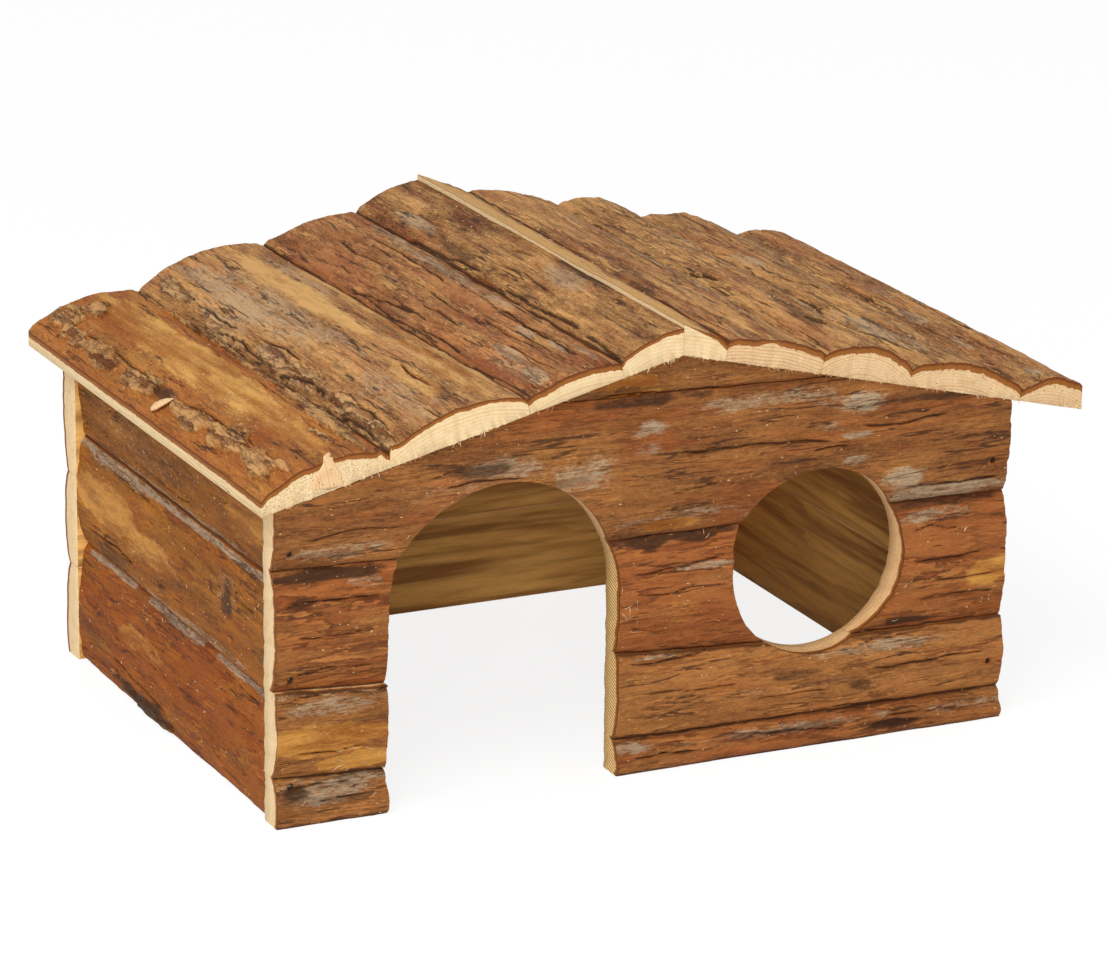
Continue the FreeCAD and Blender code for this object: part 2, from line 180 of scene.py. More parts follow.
def slope_place(direction, slope):
    """Length to the back, width from the ridge down to the left (-1) or right (+1), bark upwards."""
    def place(u, v, w):
        x = RIDGE_FROM_LEFT + direction * v * math.cos(slope) + direction * w * math.sin(slope)
        z = RIDGE_HEIGHT - v * math.sin(slope) + w * math.cos(slope)
        return stacked(x, u, z)
    return place


left_roof = slope_place(-1, SLOPE_LEFT)
right_roof = slope_place(1, SLOPE_RIGHT)


# ----------------------------------------------------------------------------------------- noise

def scrambled(i, j, seed):
    """A number from 0 to 1 for each lattice point: indices times large odd numbers, mixed twice."""
    n = i.astype(np.int64) * 73856093 ^ j.astype(np.int64) * 19349663 ^ np.int64(seed * 83492791)
    n = ((n ^ (n >> 13)) * 1274126177) & 0xFFFFFFFF
    n = ((n ^ (n >> 16)) * 2246822519) & 0xFFFFFFFF
    return ((n ^ (n >> 15)) & 0xFFFFFF) / float(0xFFFFFF)


def smooth(x):
    """The cubic 3x^2 - 2x^3, flat at 0 and 1."""
    return x * x * (3.0 - 2.0 * x)


def rise(x, low, high):
    """0 below low, 1 above high and the smooth cubic between."""
    return smooth(np.clip((x - low) / (high - low), 0.0, 1.0))


def noise(u, v, seed):
    """Lattice values blended smoothly along both directions, 0 to 1."""
    i = np.floor(u)
    j = np.floor(v)
    a = smooth(u - i)
    b = smooth(v - j)
    low = scrambled(i, j, seed) * (1 - a) + scrambled(i + 1, j, seed) * a
    high = scrambled(i, j + 1, seed) * (1 - a) + scrambled(i + 1, j + 1, seed) * a
    return low * (1 - b) + high * b


def layered(u, v, seed, layers=4):
    """Noise summed over layers, each twice as fine and half as strong, scaled to 0 to 1."""
    total = 0.0
    weight = 0.0
    for k in range(layers):
        total = total + noise(u * 2.0 ** k + 17.3 * k, v * 2.0 ** k + 5.1 * k, seed + k) * 0.5 ** k
        weight += 0.5 ** k
    return total / weight


def cells(u, v, seed):
    """Scattered points, one per lattice cell: how much nearer one is than the next, and its number."""
    i = np.floor(u)
    j = np.floor(v)
    nearest = np.full(np.shape(u), 9.0)
    second = nearest.copy()
    own = np.zeros(np.shape(u))
    for di in (-1, 0, 1):
        for dj in (-1, 0, 1):
            ci = i + di
            cj = j + dj
            away = np.hypot(ci + scrambled(ci, cj, seed) - u, cj + scrambled(ci, cj, seed + 1) - v)
            closer = away < nearest
            second = np.where(closer, nearest, np.minimum(second, away))
            own = np.where(closer, scrambled(ci, cj, seed + 2), own)
            nearest = np.minimum(nearest, away)
    return second - nearest, own


# ------------------------------------------------------------------------------------------ bark

def patches(u, v, spots, seed, ragged=0.45, soft=0.6):
    """Union of ellipses (u, v, half length, half width, strength): one half on a wavering rim."""
    mask = np.zeros(np.shape(u))
    waver = ragged * 2 * (layered(u / 8.0, v / 3.5, seed, 3) - 0.5)
    for spot_u, spot_v, half_u, half_v, strength in spots:
        away = np.hypot((u - spot_u) / half_u, (v - spot_v) / half_v) + waver
        mask = np.maximum(mask, strength * np.clip(0.5 + (1 - away) / soft, 0.0, 1.0))
    return mask


def terraces(level, steps, edge):
    """Level cut into flat steps with steep sides."""
    part = level * steps
    base = np.floor(part)
    return (base + rise(part - base, 1 - edge, 1.0)) / steps


def crack_marks(u, v, cracks, seed):
    """Marks on lines through (u, v) points that thin out at both ends, and a raised lip beside them, which
    the bark's tone also lightens as a painted highlight.

    Each crack is (half width, points).  The distance to its line is taken square to the slope, and
    the mark crosses one half where that distance is the half width.
    """
    mark = np.zeros(np.shape(u))
    lip_with_highlight = mark.copy()
    for number, (half, points) in enumerate(cracks):
        at, level = zip(*points)
        reach = (at[-1] - at[0]) * 0.2
        lane = 3.7 * number + 0 * u
        line = np.interp(u, at, level) + 2.0 * (layered(u / 9.0, lane, seed, 4) - 0.5)
        slope = (np.interp(u + 1.0, at, level) - np.interp(u - 1.0, at, level)) / 2
        ends = rise(u, at[0] - 0.5, at[0] + reach) * (1 - rise(u, at[-1] - reach, at[-1] + 0.5))
        away = (v - line) / np.hypot(1.0, slope)
        wide = 0.8 * half * ends * (0.5 + 0.9 * layered(u / 6.0, lane, seed + 5, 3)) - 0.3 * (1 - ends)
        mark = np.maximum(mark, np.clip(0.5 + (wide - np.abs(away)) / 1.3, 0.0, 1.0))
        side = 1.0 if scrambled(np.array([number]), np.array([3]), seed)[0] > 0.4 else -1.0
        lip_with_highlight = np.maximum(lip_with_highlight, ends * np.exp(-np.abs(side * away - 1.3) / 0.9) * half / 0.5)
    return mark, lip_with_highlight


def bark(u, v, low_gap, high_gap, look):
    """Height of the bark over its smooth arch, and its masks.

    The height is a sum of long waves, ropes along the grain, peeled layers cut as terraces, grooves
    in lanes along the grain, crust in plates, loose flakes, bare places that lie lower, cracks,
    knots and pits.  low_gap and high_gap are the distances to the slab's edges.  Masks cross one
    half at their rims, and the materials cut them sharply there.
    """
    seed = look["seed"]

    def spots(kind, offset, ragged, soft):
        return patches(u, v, look.get(kind, ()), seed + offset, ragged, soft)

    x = v + 2.2 * (layered(u / 40.0, v / 18.0, seed + 50, 3) - 0.5)
    waves = layered(u / 42.0, x / 9.0, seed, 3) - 0.5
    ropes = layered(u / 17.0, x / 3.0, seed + 10, 2) - 0.5
    fibres = noise(u / 7.0, x / 1.3, seed + 20) - 0.5
    jag_u = layered(u / 6.0, v / 3.6, seed + 28, 3) - 0.5
    jag_v = layered(u / 5.0, v / 4.1, seed + 29, 3) - 0.5

    bare = spots("bare", 30, 0.35, 0.7)
    crust_mask = spots("crust", 36, 0.8, 0.6)
    if "rough_high" in look:
        reach = look["rough_high"] * (0.2 + 1.6 * layered(u / 16.0, v / 60.0, seed + 33, 3))
        crust_mask = np.maximum(crust_mask, np.clip(0.5 + (reach - high_gap + 2.4 * jag_v) / 1.8, 0, 1))
    crust = rise(crust_mask, 0.4, 0.62)
    scab = terraces(layered(u / 16.0 + 0.6 * jag_u, x / 5.0 + 0.4 * jag_v, seed + 40, 3), 5, 0.2)
    split, plate = cells(u / 15.0 + 1.3 * jag_u, x / 6.5 + 0.9 * jag_v, seed + 41)
    gap_line = np.clip(0.9 - split / 0.14, 0, 1) * crust
    flaky = look["flaky"] * (0.4 + 1.2 * layered(u / 34.0, v / 9.0, seed + 43, 3))
    flaky = flaky * (1 - bare) * (1 - crust)
    layer = terraces(layered(u / 34.0 + 0.4 * jag_u, x / 7.5 + 0.3 * jag_v, seed + 46, 3), 6, 0.16)
    flakes = spots("flakes", 76, 0.5, 0.5)
    lane = v / 4.6 + 1.5 * layered(u / 48.0, v / 30.0, seed + 60, 4)
    line = np.floor(lane)
    open_share = rise(layered(u / 20.0 + 7.3 * line, 3.1 * line, seed + 63, 3), 0.44, 0.66)
    groove = np.clip(1 - np.abs(lane - line - 0.5) / (0.02 + 0.09 * open_share), 0, 1) * open_share
    groove *= look["furrows"]
    crack, lip_with_highlight = crack_marks(u, v, look.get("cracks", ()), seed + 66)
    deep = spots("deep", 67, 0.5, 0.7)

    height = 0.8 * waves + 0.5 * ropes * (1 - 0.6 * bare) + 0.16 * fibres - 0.7 * groove * (1 - bare)
    height += flaky * 2.2 * (layer - 0.5) - 0.4 * rise(bare, 0.3, 0.8)
    height += crust * (1.3 + 1.9 * (scab - 0.5) + 0.7 * (plate - 0.5)) - 0.6 * gap_line
    height += 0.45 * rise(flakes, 0.42, 0.6) + 0.35 * lip_with_highlight
    height -= 0.9 * rise(crack, 0.3, 0.8) + 1.2 * rise(deep, 0.3, 0.9)
    dark = spots("dark", 70, 0.7, 0.9)
    dark = np.maximum(dark, 0.5 * rise(crust_mask, 0.02, 0.3) * (1 - rise(crust_mask, 0.45, 0.55)))
    for knot_u, knot_v, radius in look.get("knots", ()):
        away = np.hypot((u - knot_u) / 1.5, v - knot_v) / radius + 0.5 * jag_u
        height += 0.9 * np.exp(-away ** 2) - 0.8 * np.exp(-(away / 0.4) ** 2)
        dark = np.maximum(dark, 0.75 * np.exp(-(away / 0.45) ** 2))
        dark = np.maximum(dark, 0.5 * np.exp(-((away - 1.1) / 0.25) ** 2))
    for pit_u, pit_v in look.get("pits", ()):
        away = np.hypot(u - pit_u, v - pit_v) + 0.5 * jag_u
        height -= 2.2 * (1 - rise(away, 0.45, 1.15))
        dark = np.maximum(dark, 1 - rise(away, 0.5, 1.3))
    edge_gap = np.minimum(low_gap, high_gap) + 1.4 * jag_v
    height -= 0.6 * (1 - rise(edge_gap, 0.0, 1.8))

    pale_rim = 1 - rise(np.abs(high_gap - 1.3 + 0.7 * jag_v), 0.6, 1.2)
    pale_rim *= rise(layered(u / 26.0, v / 90.0, seed + 88, 3), 0.3, 0.42)
    grey = np.maximum(spots("grey", 80, 0.6, 0.9), look.get("pale_rim", 0.0) * pale_rim)
    grey = np.maximum(grey, flakes)
    tone = look["tone"] + 0.8 * (layered(u / 34.0, x / 5.0, seed + 90, 3) - 0.5)
    # 0.12 * height makes raised bark lighter and low bark darker, and -0.15 * groove darkens the furrows:
    # painted shade.
    tone += 0.6 * ropes + 0.25 * fibres + 0.9 * flaky * (layer - 0.5) + 0.12 * height - 0.15 * groove
    tone += 0.5 * spots("light", 83, 0.6, 0.9)
    # The lifted lip beside each crack is lightened here as a painted highlight.
    tone += crust * (0.1 + 0.7 * (scab - 0.5) + 0.4 * (plate - 0.5)) + 0.25 * lip_with_highlight - 0.25 * crack
    red = look["red"] + 1.2 * (layered(u / 30.0, v / 6.0, seed + 95, 3) - 0.5)
    # A dark outline round the crust and round the raised flakes, put into the crack colour: painted shadow at
    # their edges.
    rim = rise(crust_mask, 0.3, 0.4) * (1 - rise(crust_mask, 0.42, 0.5))
    rim = rim + rise(flakes, 0.3, 0.4) * (1 - rise(flakes, 0.42, 0.5))
    seams = look.get("seams", 0.9) * np.clip(0.85 - edge_gap / 1.8, 0, 1)
    # The furrows and the deep hollows, which the height already lowers, also get the crack colour: painted
    # shade in them.
    grooves = 0.95 * rise(groove, 0.1, 0.5) * (1 - bare)
    for mark in (1.1 * deep, grooves, 0.62 * gap_line, 0.62 * rim * rise(jag_u, -0.1, 0.15), seams):
        crack = np.maximum(crack, mark)
    masks = ((crack, bare, grey), (tone, red, dark), (flaky, crust_mask, groove))
    return height, [np.clip(np.stack(mask, axis=-1), 0, 1) for mask in masks]


# ----------------------------------------------------------------------------------- slab meshes

def seam_line(seam):
    """The seam as a function of u: straight between stations, with a slight waver."""
    stations, heights, seed = seam

    def height(u):
        level = np.interp(u, stations, heights)
        if seed is None:
            return level
        return level + 1.1 * (layered(u / 21.0, 0.37 + 0 * u, seed, 4) - 0.5)
    return height


def parabola(v, low, high, edges):
    """Height of the parabola that has the three edge heights just outside low, midway and high."""
    low_edge, crown, high_edge = edges
    half = (high - low) / 2 + ARCH_MARGIN
    x = (v - (low + high) / 2) / half
    return crown + (high_edge - low_edge) / 2 * x + ((high_edge + low_edge) / 2 - crown) * x * x


def pith_distance(v, w, low, high, edges):
    """Distance from the log's middle, which lies on the centre of the circle through the arch."""
    low_edge, crown, high_edge = edges
    half = (high - low) / 2 + ARCH_MARGIN
    sag = np.maximum(crown - (low_edge + high_edge) / 2, 0.8)
    radius = (half * half + sag * sag) / (2 * sag)
    return np.hypot(v - (low + high) / 2, w - crown + radius)


def inward(u, v):
    """Unit vectors in the plane that point into a closed outline, square to its direction."""
    along_u = np.roll(u, -1) - np.roll(u, 1)
    along_v = np.roll(v, -1) - np.roll(v, 1)
    length = np.maximum(np.hypot(along_u, along_v), 1e-9)
    area = np.sum(u * np.roll(v, -1) - np.roll(u, -1) * v)
    turn = 1.0 if area > 0 else -1.0
    return -turn * along_v / length, turn * along_u / length


def grid_quads(rows, columns):
    """Corner numbers of the quads of a grid that is numbered row by row."""
    first = (np.arange(rows - 1)[:, None] * columns + np.arange(columns - 1)[None, :]).ravel()
    return np.stack([first, first + columns, first + columns + 1, first + 1], axis=-1)


def rim_numbers(rows, columns):
    """Numbers of the grid's outer points in order, and the side (low, far, high, near) of each step."""
    low = np.arange(rows - 1) * columns
    far = (rows - 1) * columns + np.arange(columns - 1)
    high = (np.arange(rows - 1, 0, -1)) * columns + columns - 1
    near = np.arange(columns - 1, 0, -1)
    sides = np.repeat([0, 1, 2, 3], [len(low), len(far), len(high), len(near)])
    return np.concatenate([low, far, high, near]), sides


def flat_faces(number, rows, columns):
    """The flat face as quads of STRIDE x STRIDE steps, joined to every point of the rim.

    number holds the mesh numbers of the rim's points and of every STRIDE-th inner point.
    """
    k = STRIDE
    far = rows - 1
    top = columns - 1
    inner_i = np.arange(k, far - k, k)
    inner_j = np.arange(k, top - k, k)
    faces = []
    i, j = np.meshgrid(inner_i, inner_j, indexing="ij")
    quads = np.stack([number[i, j], number[i + k, j], number[i + k, j + k], number[i, j + k]], axis=-1)
    faces += quads.reshape(-1, 4).tolist()
    run = np.arange(k + 1)
    for i in inner_i:
        faces.append([*number[i + run, 0], number[i + k, k], number[i, k]])
        faces.append([number[i, top - k], number[i + k, top - k], *number[i + run, top][::-1]])
    for j in inner_j:
        faces.append([number[k, j], number[k, j + k], *number[0, j + run][::-1]])
        faces.append([number[far - k, j], *number[far, j + run], number[far - k, j + k]])
    faces.append([*number[0, run][::-1], *number[run[1:], 0], number[k, k]])
    faces.append([*number[far - k + run, 0], *number[far, run[1:]], number[far - k, k]])
    faces.append([number[far - k, top - k], *number[far, top - k + run], *number[far - run[1:], top]])
    faces.append([number[k, top - k], *number[k - run, top], *number[0, top - run[1:]]])
    return [[int(n) for n in face[::-1]] for face in faces]


def arch_span(low_line, high_line, before=0.0):
    """The two lines that a log's arch spans, as a function of u; it starts so far before the low one."""
    return lambda u: (low_line(u) - before, high_line(u))


def slab_faces(rows, columns, rings, sides, number):
    """Faces from the bark down the rings of the rim to the flat face, and the part that each is of."""
    quads = [grid_quads(rows, columns)]
    parts = [np.full(len(quads[0]), PARTS.index("bark"))]
    for upper, lower in zip(rings, rings[1:]):
        quads.append(np.stack([upper, lower, np.roll(lower, -1), np.roll(upper, -1)], axis=-1))
        parts.append(np.array([PARTS.index(part) for part in SIDE_PARTS])[sides])
    flat = flat_faces(number, rows, columns)
    parts.append(np.full(len(flat), PARTS.index("inner")))
    return np.concatenate(quads).tolist() + flat, np.concatenate(parts)


def turns_inside_out(place):
    """Whether a place function mirrors what it places."""
    corners = place(np.array([0.0, 1, 0, 0]), np.array([0.0, 0, 1, 0]), np.array([0.0, 0, 0, 1]))
    return np.linalg.det(corners[1:] - corners[0]) < 0


def add_object(name, data):
    """A new object in the scene."""
    made = bpy.data.objects.new(name, data)
    bpy.context.scene.collection.objects.link(made)
    return made


def make_slab(name, place, plan, log, edges, finish, spacing=FINE, lean=(0.0, 0.0), teeth=0.0, crumble=0.0):
    """One slab as a closed mesh, with the bark that LOOKS gives it.

    plan(s, t) gives u and v for shares s of the length and t of the width, and log(u) the two seams
    that the log's arch spans.  lean tilts the low and the high edge, as v per w.  The rim of the
    bark is carried down in rings to the flat face; with teeth, torn fibres of that length hang from
    the lower edge of the two ends.  crumble is how far the ends may be worn back, by noise that fades
    within a few millimetres.
    """
    look = LOOKS[name]
    probe_s = np.array([[0.0, 0.5, 1.0]] * 2)
    probe_u, probe_v = plan(probe_s, np.array([[0.0] * 3, [1.0] * 3]))
    step = spacing * QUICK_STEP * STRIDE
    rows = max(int(np.ptp(probe_u) / step), 3) * STRIDE + 1
    columns = max(int(np.max(np.abs(probe_v[1] - probe_v[0])) / step), 3) * STRIDE + 1
    s, t = np.meshgrid(np.linspace(0, 1, rows), np.linspace(0, 1, columns), indexing="ij")
    u, v = plan(s, t)
    worn_start = layered(v / 3.0, 0 * v, look["seed"] + 130, 3) ** 2 * np.exp(-(u - u[:1]) / 1.2)
    worn_end = layered(v / 3.0, 0 * v, look["seed"] + 135, 3) ** 2 * np.exp((u - u[-1:]) / 1.2)
    u = u + crumble * (worn_start - worn_end)
    low, high = log(u)
    arch = parabola(v, low, high, edges)
    relief, masks = bark(u, v, v - low, high - v, look)
    w = np.maximum(arch + relief, 1.2)
    tilt = lean[0] * (1 - t) + lean[1] * t

    rim, sides = rim_numbers(rows, columns)
    rim_u, rim_v, rim_w, rim_tilt = (a.ravel()[rim] for a in (u, v, w, tilt))
    in_u, in_v = inward(rim_u, rim_v)
    torn = rise(layered(rim_v / 1.2, rim_u / 9.0, look["seed"] + 120, 3), 0.45, 0.75)
    torn *= teeth * np.isin(sides, (1, 3)) * rise(layered(rim_v / 9.0, rim_u, look["seed"] + 125), 0.3, 0.7)
    levels = [np.maximum(rim_w - 0.9, 0.5), 0.5 * rim_w, np.full(rim_w.shape, 0.25) - torn, 0 * rim_w]
    insets = [0.0, 0.0, 0.0, 0.25 + 0.6 * (torn > 0.1)]
    inner = np.s_[STRIDE:rows - 1:STRIDE, STRIDE:columns - 1:STRIDE]
    count = len(rim)
    first = rows * columns
    rings = [rim] + [first + k * count + np.arange(count) for k in range(len(levels))]
    number = np.full((rows, columns), -1)
    number.ravel()[rim] = rings[-1]
    inner_count = number[inner].size
    number[inner] = first + len(levels) * count + np.arange(inner_count).reshape(number[inner].shape)
    all_u = np.concatenate([u.ravel()] + [rim_u + back * in_u for back in insets] + [u[inner].ravel()])
    rim_vs = [rim_v + level * rim_tilt + back * in_v for level, back in zip(levels, insets)]
    all_v = np.concatenate([(v + w * tilt).ravel()] + rim_vs + [v[inner].ravel()])
    all_w = np.concatenate([w.ravel()] + levels + [0 * w[inner].ravel()])

    faces, parts = slab_faces(rows, columns, rings, sides, number)
    if turns_inside_out(place):
        faces = [face[::-1] for face in faces]
    mesh = bpy.data.meshes.new(name)
    mesh.from_pydata(place(all_u, all_v, all_w).tolist(), [], faces)
    mesh.polygons.foreach_set("material_index", parts.astype(np.int32))

    all_low, all_high = log(all_u)
    over = np.concatenate([w.ravel()] + [rim_w] * len(levels) + [w[inner].ravel()])
    pith = pith_distance(all_v, all_w, all_low, all_high, edges)
    layer = np.full(over.shape, look.get("bark_depth", 1.4))
    write_attribute(mesh, "grain", np.stack([all_u, all_v, all_w], axis=-1) + 31.0 * (look["seed"] % 97))
    for label, mask in zip(("cover", "shade", "peel"), masks):
        write_attribute(mesh, label, spread(mask, rim, len(levels), inner))
    write_attribute(mesh, "rings", np.stack([over - all_w, pith, layer], axis=-1))
    for part in PARTS:
        mesh.materials.append(finish[part])
    mesh.shade_smooth()
    mesh.set_sharp_from_angle(angle=SHARP_ANGLE)
    mesh.update()
    piece = add_object(name + "_slab", mesh)
    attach(piece, "root")
    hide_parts(name)
    SURFACES[name] = place(u, v + w * tilt, w)


def spread(values, rim, rings, inner):
    """Values on the grid, then the rim's values once for each ring, then those of the inner points."""
    flat = values.reshape(-1, values.shape[-1])
    return np.concatenate([flat] + [flat[rim]] * rings + [values[inner].reshape(-1, values.shape[-1])])


def write_attribute(mesh, name, vectors):
    """Stores three numbers at each point of the mesh."""
    stored = mesh.attributes.new(name, "FLOAT_VECTOR", "POINT")
    stored.data.foreach_set("vector", vectors.astype(np.float32).ravel())


# ------------------------------------------------------------------------------- node tree helpers

def paint(red, green, blue):
    """A colour given as it shows on screen, 0 to 255, as the linear value that shaders take."""
    shares = [c / 255 for c in (red, green, blue)]
    return (*[c / 12.92 if c <= 10 / 255 else ((c + 0.055) / 1.055) ** 2.4 for c in shares], 1.0)


class Wire:
    """The output of a node.  Sums, differences, products and quotients of wires are Math nodes."""

    def __init__(self, socket):
        self.socket = socket

    def __add__(self, other):
        return calc("ADD", self, other)

    def __sub__(self, other):
        return calc("SUBTRACT", self, other)

    def __rsub__(self, other):
        return calc("SUBTRACT", other, self)

    def __mul__(self, other):
        return calc("MULTIPLY", self, other)

    def __truediv__(self, other):
        return calc("DIVIDE", self, other)


def node(tree, kind, inputs=None, **settings):
    """A shader node with its properties set and its inputs set or linked."""
    made = tree.nodes.new("ShaderNode" + kind)
    for key, value in settings.items():
        setattr(made, key, value)
    for key, value in (inputs or {}).items():
        if isinstance(value, Wire):
            tree.links.new(value.socket, made.inputs[key])
        else:
            made.inputs[key].default_value = value
    return made


def wire(kind, inputs, output=0, **settings):
    """An output of a new node, in the tree that its linked inputs belong to."""
    tree = next(value.socket.id_data for value in inputs.values() if isinstance(value, Wire))
    return Wire(node(tree, kind, inputs, **settings).outputs[output])


def blend(share, first, second):
    """Colour between first and second by share."""
    return wire("Mix", {0: share, 6: first, 7: second}, 2, data_type="RGBA")


def calc(operation, first, second=0.0, clamp=False):
    """A Math node."""
    return wire("Math", {0: first, 1: second}, operation=operation, use_clamp=clamp)


def larger(first, second):
    """The larger of two values."""
    return calc("MAXIMUM", first, second)


def ease(value, low, high, start=0.0, end=1.0):
    """Smooth step from start to end as the value goes from low to high."""
    inputs = {"Value": value, "From Min": low, "From Max": high, "To Min": start, "To Max": end}
    return wire("MapRange", inputs, interpolation_type="SMOOTHSTEP")


def swing(value, amount):
    """How far a 0 to 1 value is from one half, times an amount."""
    return (value - 0.5) * amount


def stretched(grain, along, across):
    """Grain coordinates with separate repeats per millimetre along and across the grain."""
    return wire("VectorMath", {0: grain, 1: (along, across, across)}, operation="MULTIPLY")


def cloud(grain, along, across, detail=4.0, roughness=0.6, output=0):
    """Noise with these repeats per millimetre along and across the grain."""
    place = stretched(grain, along, across)
    return wire("TexNoise", {"Vector": place, "Scale": 1.0, "Detail": detail, "Roughness": roughness}, output)


def scatter(vector):
    """Scattered points: the node that makes them, and the distance to the nearest one."""
    points = node(vector.socket.id_data, "TexVoronoi", {"Vector": vector, "Scale": 1.0})
    return points, Wire(points.outputs["Distance"])


def chance_of(points):
    """The chance number of the nearest scattered point."""
    return wire("SeparateColor", {0: Wire(points.outputs["Color"])})


def hairline(grain, along, across, width, strength):
    """A thin line, as strong as given, wherever a rough noise crosses one half."""
    away = calc("ABSOLUTE", cloud(grain, along, across, 4.0, 0.55) - 0.5)
    return ease(away, 0.2 * width, width, strength, 0.0)


def attribute(tree, name):
    """The three channels of a mesh attribute, and the attribute as a vector."""
    vector = Wire(node(tree, "Attribute", attribute_name=name, attribute_type="GEOMETRY").outputs["Vector"])
    return (*map(Wire, node(tree, "SeparateXYZ", {0: vector}).outputs), vector)


def open_group(name, colours, numbers):
    """A node group with colour and number inputs, and the wires that come from them."""
    tree = bpy.data.node_groups.new(name, "ShaderNodeTree")
    sockets = [(label, "INPUT", "Color") for label in colours]
    sockets += [(label, "INPUT", "Float") for label in numbers]
    sockets += [("Color", "OUTPUT", "Color"), ("Height", "OUTPUT", "Float"), ("Roughness", "OUTPUT", "Float")]
    for label, way, kind in sockets:
        tree.interface.new_socket(label, in_out=way, socket_type="NodeSocket" + kind)
    entry = tree.nodes.new("NodeGroupInput")
    return tree, {socket.name: Wire(socket) for socket in entry.outputs}


def close_group(tree, colour, height, roughness):
    """Puts the three results on the group's outputs."""
    result = tree.nodes.new("NodeGroupOutput").inputs
    for label, value in (("Color", colour), ("Height", height), ("Roughness", roughness)):
        tree.links.new(value.socket, result[label])
    return tree


